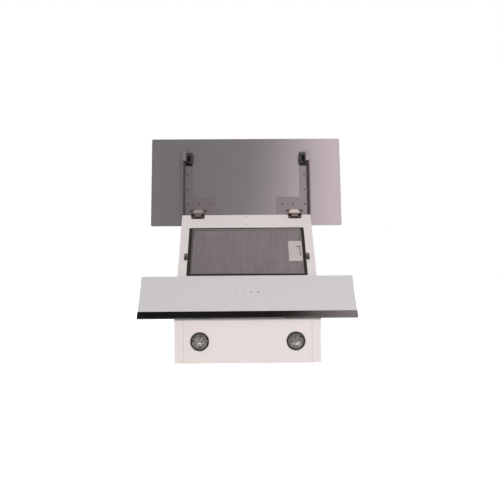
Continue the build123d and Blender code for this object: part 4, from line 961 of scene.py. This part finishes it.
def grow(name, tree, body, turn, places=None, slot=None, **values):
    """Run a node tree on a seed mesh, and keep the plain mesh that it makes as a piece on a body."""
    seed = bpy.data.objects.new(name + "_seed", places or bpy.data.meshes.new(name + "_seed"))
    bpy.context.scene.collection.objects.link(seed)
    run = seed.modifiers.new("grow", "NODES")
    run.node_group = tree
    for item in tree.interface.items_tree:
        key = item.name.replace(" ", "_")
        if item.item_type == "SOCKET" and item.in_out == "INPUT" and key in values:
            run[item.identifier] = values[key]
    seen_mesh = seed.evaluated_get(bpy.context.evaluated_depsgraph_get())
    mesh = bpy.data.meshes.new_from_object(seen_mesh)
    mesh.name = name
    mesh.transform(turn)
    bpy.data.objects.remove(seed)
    return add_piece(name, mesh, body)


# %% Grow the mesh
BODY_HEIGHT = 244.3
FACE_LENGTH = BODY_HEIGHT / math.sin(FACE_TILT)
BAND_ABOVE_FILTER = 52.3
OPENING_HEIGHT = 183
FILTER_MIDDLE = FACE_LENGTH - BAND_ABOVE_FILTER - OPENING_HEIGHT / 2
MESH_LEVEL = -2.6
mesh_tone = finish_of(
    "stretched_mesh", (217, 206, 209), (187, 176, 180), 0.42, metal=0.4, bump=0.2, blotch=18
)
filter_mesh = grow(
    "filter_fine_mesh",
    zigzag_tree(mesh_tone),
    "casing",
    face_matrix(-MESH_CELL / 4, FILTER_MIDDLE, MESH_LEVEL),
    slot="filter_aluminium",
    Width=MESH_WIDTH * MM,
    Height=MESH_HEIGHT * MM,
    Cut_Left=CUT_LEFT * MM,
    Cut_Height=CUT_HEIGHT * MM,
)
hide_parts("filter_front_mesh")
mesh_box = [round(length / MM, 1) for length in filter_mesh.dimensions]
print("fine mesh faces:", len(filter_mesh.data.polygons), "box", mesh_box)

# %% [markdown]
# ## Marks on the glass
# The touch panel has a row of four small printed marks. They could be drawn by the glass's material, but
# each would need its own masks. Thin shapes that lie on the glass are easier to place and to change.

# %% Touch marks
MARK_S = 77.5
MARK_LIFT = 20.02
MARK_PLACES = {-30: "bar", -10: "ring", 10: "dot", 30: "disc"}
MARK_SHEET = 0.03
MARK_STEPS = 20
RING_INSIDE = 1.9
RING_OUTSIDE = 2.4
BAR_HALF_WIDTH = 0.7
BAR_HALF_HEIGHT = 2.2
DOT_RADIUS = 2.0
DISC_RADIUS = 2.4


def thin_shape(mesh, outline, matrix, thickness):
    """Add a flat shape with a little thickness. The outline is a list of x, y in millimetres."""
    low = [mesh.verts.new(matrix @ Vector((x * MM, y * MM, 0))) for x, y in outline]
    high = [mesh.verts.new(matrix @ Vector((x * MM, y * MM, thickness * MM))) for x, y in outline]
    mesh.faces.new(list(reversed(low)))
    mesh.faces.new(high)
    count = len(outline)
    for step in range(count):
        following = (step + 1) % count
        mesh.faces.new((low[step], low[following], high[following], high[step]))


def rectangle(left, right, low, high):
    """The outline of a rectangle."""
    return [(left, low), (right, low), (right, high), (left, high)]


def circle(radius):
    """The outline of a round mark."""
    turns = [2 * math.pi * step / MARK_STEPS for step in range(MARK_STEPS)]
    return [(radius * math.cos(turn), radius * math.sin(turn)) for turn in turns]


def flat_ring(mesh, inner, outer, matrix, thickness):
    """A ring made of short flat blocks that share no edges."""
    inside, outside = circle(inner), circle(outer)
    for step in range(MARK_STEPS):
        after = (step + 1) % MARK_STEPS
        thin_shape(mesh, [inside[step], outside[step], outside[after], inside[after]], matrix, thickness)


def finish_shapes(name, shapes, mat, body):
    """Turn collected shapes into a piece on a body."""
    bmesh.ops.recalc_face_normals(shapes, faces=shapes.faces)
    mesh = bpy.data.meshes.new(name)
    shapes.to_mesh(mesh)
    shapes.free()
    mesh.materials.append(mat)
    piece = add_piece(name, mesh, body)
    print(name + ":", len(mesh.polygons), "faces")
    return piece


mark_ink = finish_of("mark_ink", (104, 100, 102), (92, 88, 90), 0.5, bump=0.05)
marks = bmesh.new()
for x, kind in MARK_PLACES.items():
    place = face_matrix(x, MARK_S, MARK_LIFT)
    if kind == "ring":
        flat_ring(marks, RING_INSIDE, RING_OUTSIDE, place, MARK_SHEET)
    elif kind == "bar":
        bar = rectangle(-BAR_HALF_WIDTH, BAR_HALF_WIDTH, -BAR_HALF_HEIGHT, BAR_HALF_HEIGHT)
        thin_shape(marks, bar, place, MARK_SHEET)
    else:
        thin_shape(marks, circle(DISC_RADIUS if kind == "disc" else DOT_RADIUS), place, MARK_SHEET)
finish_shapes("touch_marks", marks, mark_ink, "casing")

# %% [markdown]
# ## Crosses in the screw heads
# The small screws on the hood have crossed slots. Cutting twelve heads one by one would be slow, and a
# painted cross would look flat. So one node tree lays a thin dark cross on every point that it is given, as
# painted shade for the shade down in the slot. Each is turned to face out of its head, with its own twist
# and size, as screws never stop at the same angle.

# %% Cross tree
CROSS_SHEET = 0.43
CROSS_SLIM = 0.28
CROSS_SPAN = 2.0


def point_value(tree, label, kind):
    """A value that each point of the seed mesh carries."""
    made = node(tree, "GeometryNodeInputNamedAttribute", data_type=kind)
    set_inputs(made, Name=label)
    return made.outputs["Attribute"]


def cross_tree(mat):
    """Two thin crossed bars on every point, turned to the point's out direction."""
    tree = bpy.data.node_groups.new("Crosses On Heads", "GeometryNodeTree")
    tree.interface.new_socket("Heads", in_out="INPUT", socket_type="NodeSocketGeometry")
    number_socket(tree, "Sheet", CROSS_SHEET * MM)
    number_socket(tree, "Slimness", CROSS_SLIM)
    tree.interface.new_socket("Geometry", in_out="OUTPUT", socket_type="NodeSocketGeometry")
    put_in = node(tree, "NodeGroupInput").outputs
    both = node(tree, "GeometryNodeJoinGeometry")
    slim = math_node(tree, "MULTIPLY", put_in["Slimness"], CROSS_SPAN)
    for long_axis, short_axis in (("X", "Y"), ("Y", "X")):
        size = node(tree, "ShaderNodeCombineXYZ")
        set_inputs(size, **{long_axis: CROSS_SPAN, "Z": 1.0})
        bar = node(tree, "GeometryNodeMeshCube")
        wire(tree, (slim, size, short_axis), (size, 0, bar, "Size"), (bar, "Mesh", both, 0))
    facing = node(tree, "FunctionNodeAlignRotationToVector", axis="Z")
    twist = node(tree, "FunctionNodeAxisAngleToRotation")
    set_inputs(twist, Axis=(0, 0, 1))
    turned = node(tree, "FunctionNodeRotateRotation", rotation_space="LOCAL")
    stretch = node(tree, "ShaderNodeCombineXYZ")
    reach = point_value(tree, "reach", "FLOAT")
    crosses = node(tree, "GeometryNodeInstanceOnPoints")
    wire(
        tree,
        (point_value(tree, "out", "FLOAT_VECTOR"), facing, "Vector"),
        (point_value(tree, "twist", "FLOAT"), twist, "Angle"),
        (facing, 0, turned, 0),
        (twist, 0, turned, 1),
        (reach, stretch, "X"),
        (reach, stretch, "Y"),
        (put_in["Sheet"], stretch, "Z"),
        (put_in["Heads"], crosses, "Points"),
        (both, 0, crosses, "Instance"),
        (turned, 0, crosses, "Rotation"),
        (stretch, 0, crosses, "Scale"),
    )
    return end_tree(tree, crosses, mat)


def head_points(name, heads):
    """A mesh of loose points, one for each head: place, out direction, twist and reach in millimetres."""
    places, outs, twists, reaches = zip(*heads)
    mesh = bpy.data.meshes.new(name)
    mesh.from_pydata(places, [], [])
    for label, kind, values in (
        ("out", "FLOAT_VECTOR", [value for out in outs for value in out]),
        ("twist", "FLOAT", twists),
        ("reach", "FLOAT", [reach * MM for reach in reaches]),
    ):
        layer = mesh.attributes.new(label, kind, "POINT")
        layer.data.foreach_set("vector" if kind == "FLOAT_VECTOR" else "value", values)
    return mesh


# %% Crosses
AXIS_S = FACE_LENGTH - 1.0
EAR_SCREW_X = (126.7, 174.3)
EAR_SCREW_S = AXIS_S - 12.5
EAR_SCREW_TOP = 11.6
EAR_REACH = 1.4
EAR_TWIST = 0.4
TOP_SCREW_X = 192.5
TOP_SCREW_Y = (-15.0, -206.5, -382.9)
TOP_SCREW_TOP = 45.3
TOP_REACH = 2.0
TOP_TWIST = 0.3
BAND_SCREW_S = (FACE_LENGTH - 8.0, FACE_LENGTH - 40.0)
BAND_SCREW_TOP = 0.5
BAND_REACH = 1.2
BAND_TWIST = 0.6
CROSS_PROUD = 0.03
SUNK = CROSS_SHEET / 2 - CROSS_PROUD

# Painted shade: the crosses are dark for the shade in the slots.
slot_shade_tone = finish_of("screw_slot", (40, 38, 37), (28, 26, 26), 0.7, bump=0.1)
crosses = cross_tree(slot_shade_tone)
flap_heads = []
casing_heads = []
for side in (-1, 1):
    for order, x in enumerate(EAR_SCREW_X):
        place = OPEN_FLAP @ on_face(side * x, EAR_SCREW_S, EAR_SCREW_TOP + SUNK)
        flap_heads.append((place, -OUT_FLAP, EAR_TWIST + side * order, EAR_REACH))
    for order, y in enumerate(TOP_SCREW_Y):
        place = Vector((side * TOP_SCREW_X, y, TOP_SCREW_TOP - SUNK)) * MM
        casing_heads.append((place, Vector((0, 0, 1)), TOP_TWIST + side * order, TOP_REACH))
for s in BAND_SCREW_S:
    casing_heads.append((on_face(0, s, BAND_SCREW_TOP - SUNK), OUT_FACE, BAND_TWIST, BAND_REACH))
for body, heads in (("flap", flap_heads), ("casing", casing_heads)):
    made = grow(body + "_screw_crosses", crosses, body, Matrix(), head_points(body + "_heads", heads))
    print(made.name, len(heads), "heads,", len(made.data.polygons), "faces")

# %% [markdown]
# ## Rings round the lamps
# A black ring holds each lamp. The model's ring is plain, and the real one has a rounded lip that laps
# over the glass. It could be a torus, but that has one round section. A ring is a shape turned round an
# axis, so its outline is drawn once as a few points and turned in steps, as on a lathe.

# %% Lamp rings
LAMP_X = 131.0
LAMP_Y = -60.0
RING_STEPS = 64
RING_OUTLINE = (
    (21.3, 0.35), (21.7, -0.7), (22.7, -1.35), (24.2, -1.62), (25.3, -1.35), (25.7, -0.6), (25.7, 0.0)
)


def turned_ring(shapes, centre, outline, steps):
    """Turn an outline of radius and height, in millimetres, round an upright axis."""
    loops = []
    for step in range(steps):
        angle = 2 * math.pi * step / steps
        out = Vector((math.cos(angle), math.sin(angle), 0))
        places = [centre + out * (radius * MM) + Vector((0, 0, height * MM)) for radius, height in outline]
        loops.append([shapes.verts.new(place) for place in places])
    count = len(outline)
    for step in range(steps):
        here, there = loops[step], loops[(step + 1) % steps]
        for point in range(count):
            after = (point + 1) % count
            shapes.faces.new((here[point], here[after], there[after], there[point]))


rings = bmesh.new()
for side in (-1, 1):
    turned_ring(rings, Vector((side * LAMP_X, LAMP_Y, BOTTOM_Z)) * MM, RING_OUTLINE, RING_STEPS)
ring_black = finish_of(
    "ring_black", (58, 54, 53), (46, 43, 42), 0.5, bump=0.1, grain=1600, blotch=60, ior=1.3
)
lamp_rings = finish_shapes("lamp_rings", rings, ring_black, "casing")
for face in lamp_rings.data.polygons:
    face.use_smooth = True

# %% [markdown]
# ## Plates under the catch studs
# Each stud stands on a small oblong plate that spreads its pull over the thin sheet. A stretched cylinder
# would have oval ends. The real plate is a flat outline with round ends, pushed out by its thickness, so
# the helper for thin shapes makes it.

# %% Stud plates
STUD_X = 180.0
STUD_S = 212.07
PLATE_LOW = -7.5
PLATE_HIGH = 19.5
PLATE_HALF = 4.9
PLATE_SHEET = 0.9
END_STEPS = 8


def oblong(low, high, half):
    """An outline with round ends that runs from low to high."""
    outline = []
    for centre, start in ((high - half, 0.0), (low + half, math.pi)):
        for step in range(END_STEPS + 1):
            turn = start + math.pi * step / END_STEPS
            outline.append((half * math.cos(turn), centre + half * math.sin(turn)))
    return outline


plates = bmesh.new()
for side in (-1, 1):
    place = face_matrix(side * STUD_X, STUD_S, 0)
    thin_shape(plates, oblong(PLATE_LOW, PLATE_HIGH, PLATE_HALF), place, PLATE_SHEET)
plate_steel = finish_of(
    "plate_steel", (140, 130, 126), (112, 104, 98), 0.4, metal=0.4, bump=0.2, blotch=150
)
finish_shapes("stud_plates", plates, plate_steel, "casing")

# %% [markdown]
# ## The filter's top hem
# A light line shows between the seal and the mesh at the top of the filter. It is the hem of the filter's
# frame, which laps over the seal there. It could be bent out of the frame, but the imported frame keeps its
# mesh, and only the hem's face shows. So one long thin shape is laid over the seal.

# %% Top hem
HEM_HALF = 163.0
HEM_LOW = 84.0
HEM_HIGH = 86.9
HEM_K = -0.78
HEM_SHEET = 0.35

hem = bmesh.new()
outline = rectangle(-HEM_HALF, HEM_HALF, HEM_LOW, HEM_HIGH)
thin_shape(hem, outline, face_matrix(0, FILTER_MIDDLE, HEM_K), HEM_SHEET)
hem_metal = finish_of(
    "hem_aluminium", (190, 182, 182), (168, 161, 161), 0.35, metal=0.5, stretch=(0.05, 1, 1)
)
finish_shapes("filter_top_hem", hem, hem_metal, "casing")

# %% [markdown]
# ## Painted shade in the gap round the latch slide
# A dark gap shows between the filter's latch slide and its window, along the top and the right, where shade
# falls. It could be cut into the slide, but the imported slide keeps its mesh. So a thin dark strip on the
# slide stands for that shade as painted shade, and rides with it when the latch is pulled.

# %% Latch gap shade
GAP_SHADE_SHEET = 0.12
GAP_SHADE_K = -2.55
SLIDE_S = 240.27
WINDOW_LEFT = 146.9
WINDOW_RIGHT = 159.0
GAP_SHADE_RIGHT = 1.4
GAP_SHADE_TOP = 2.4
SLIDE_HALF = 19.0
GAP_SHADE_SPLIT = 0.02

gap_shade_strips = bmesh.new()
place = face_matrix(0, SLIDE_S, GAP_SHADE_K)
for left, right, low, high in (
    (WINDOW_RIGHT - GAP_SHADE_RIGHT, WINDOW_RIGHT, -SLIDE_HALF, SLIDE_HALF - GAP_SHADE_TOP),
    (WINDOW_LEFT, WINDOW_RIGHT, SLIDE_HALF - GAP_SHADE_TOP + GAP_SHADE_SPLIT, SLIDE_HALF),
):
    thin_shape(gap_shade_strips, rectangle(left, right, low, high), place, GAP_SHADE_SHEET)
# Painted shade: a dark strip for the shade in the gap.
felt_dark = finish_of("felt_dark", (34, 32, 32), (22, 21, 21), 0.9, bump=0.5, grain=1800)
finish_shapes("latch_felt", gap_shade_strips, felt_dark, "latch")

# %% [markdown]
# ## The spring behind the slide
# The latch spring is a bowed steel strip. When the slide is pulled back the real strip flattens, which a
# rigid part can't do. A welded copy of the model's strip stands in for it.

# %% Latch spring
WELD = 0.001 * MM

strip = bmesh.new()
strip.from_mesh(frame["nodes"]["latch_spring"].data)
bmesh.ops.remove_doubles(strip, verts=strip.verts, dist=WELD)
spring_leaf = finish_shapes("latch_spring_leaf", strip, ground_steel, "casing")
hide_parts("latch_spring")
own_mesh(spring_leaf)

# %% [markdown]
# ## Painted shade on the hinge covers
# The bright cover of each hinge shows dark along its slanted sides, where shade falls. A bevel there would
# catch the light, and these sides are dark. So short dark bars are laid along the two sides as painted
# shade, and ride on the flap with the cover.

# %% Hinge cover shade bars
COVER_MIDDLE = 150.5
COVER_WIDE = 20.5
COVER_NARROW = 13.0
COVER_LOW_S = 366.8
COVER_HIGH_S = 379.3
COVER_TOP = 12.2
SHADE_BAR_WIDE = 1.3
SHADE_BAR_SHEET = 0.5

cover_shade_bars = bmesh.new()
place = OPEN_FLAP @ face_matrix(0, 0, COVER_TOP - SHADE_BAR_SHEET)
for side in (-1, 1):
    for edge in (-1, 1):
        corners = [
            (edge * COVER_WIDE, COVER_HIGH_S),
            (edge * (COVER_WIDE - SHADE_BAR_WIDE), COVER_HIGH_S),
            (edge * (COVER_NARROW - SHADE_BAR_WIDE), COVER_LOW_S),
            (edge * COVER_NARROW, COVER_LOW_S),
        ]
        outline = [(side * COVER_MIDDLE + x, y) for x, y in corners]
        if edge > 0:
            outline.reverse()
        thin_shape(cover_shade_bars, outline, place, SHADE_BAR_SHEET)
# Painted shade: the bars take the darker leaf steel.
finish_shapes("hinge_cover_rims", cover_shade_bars, dark_leaf, "flap")
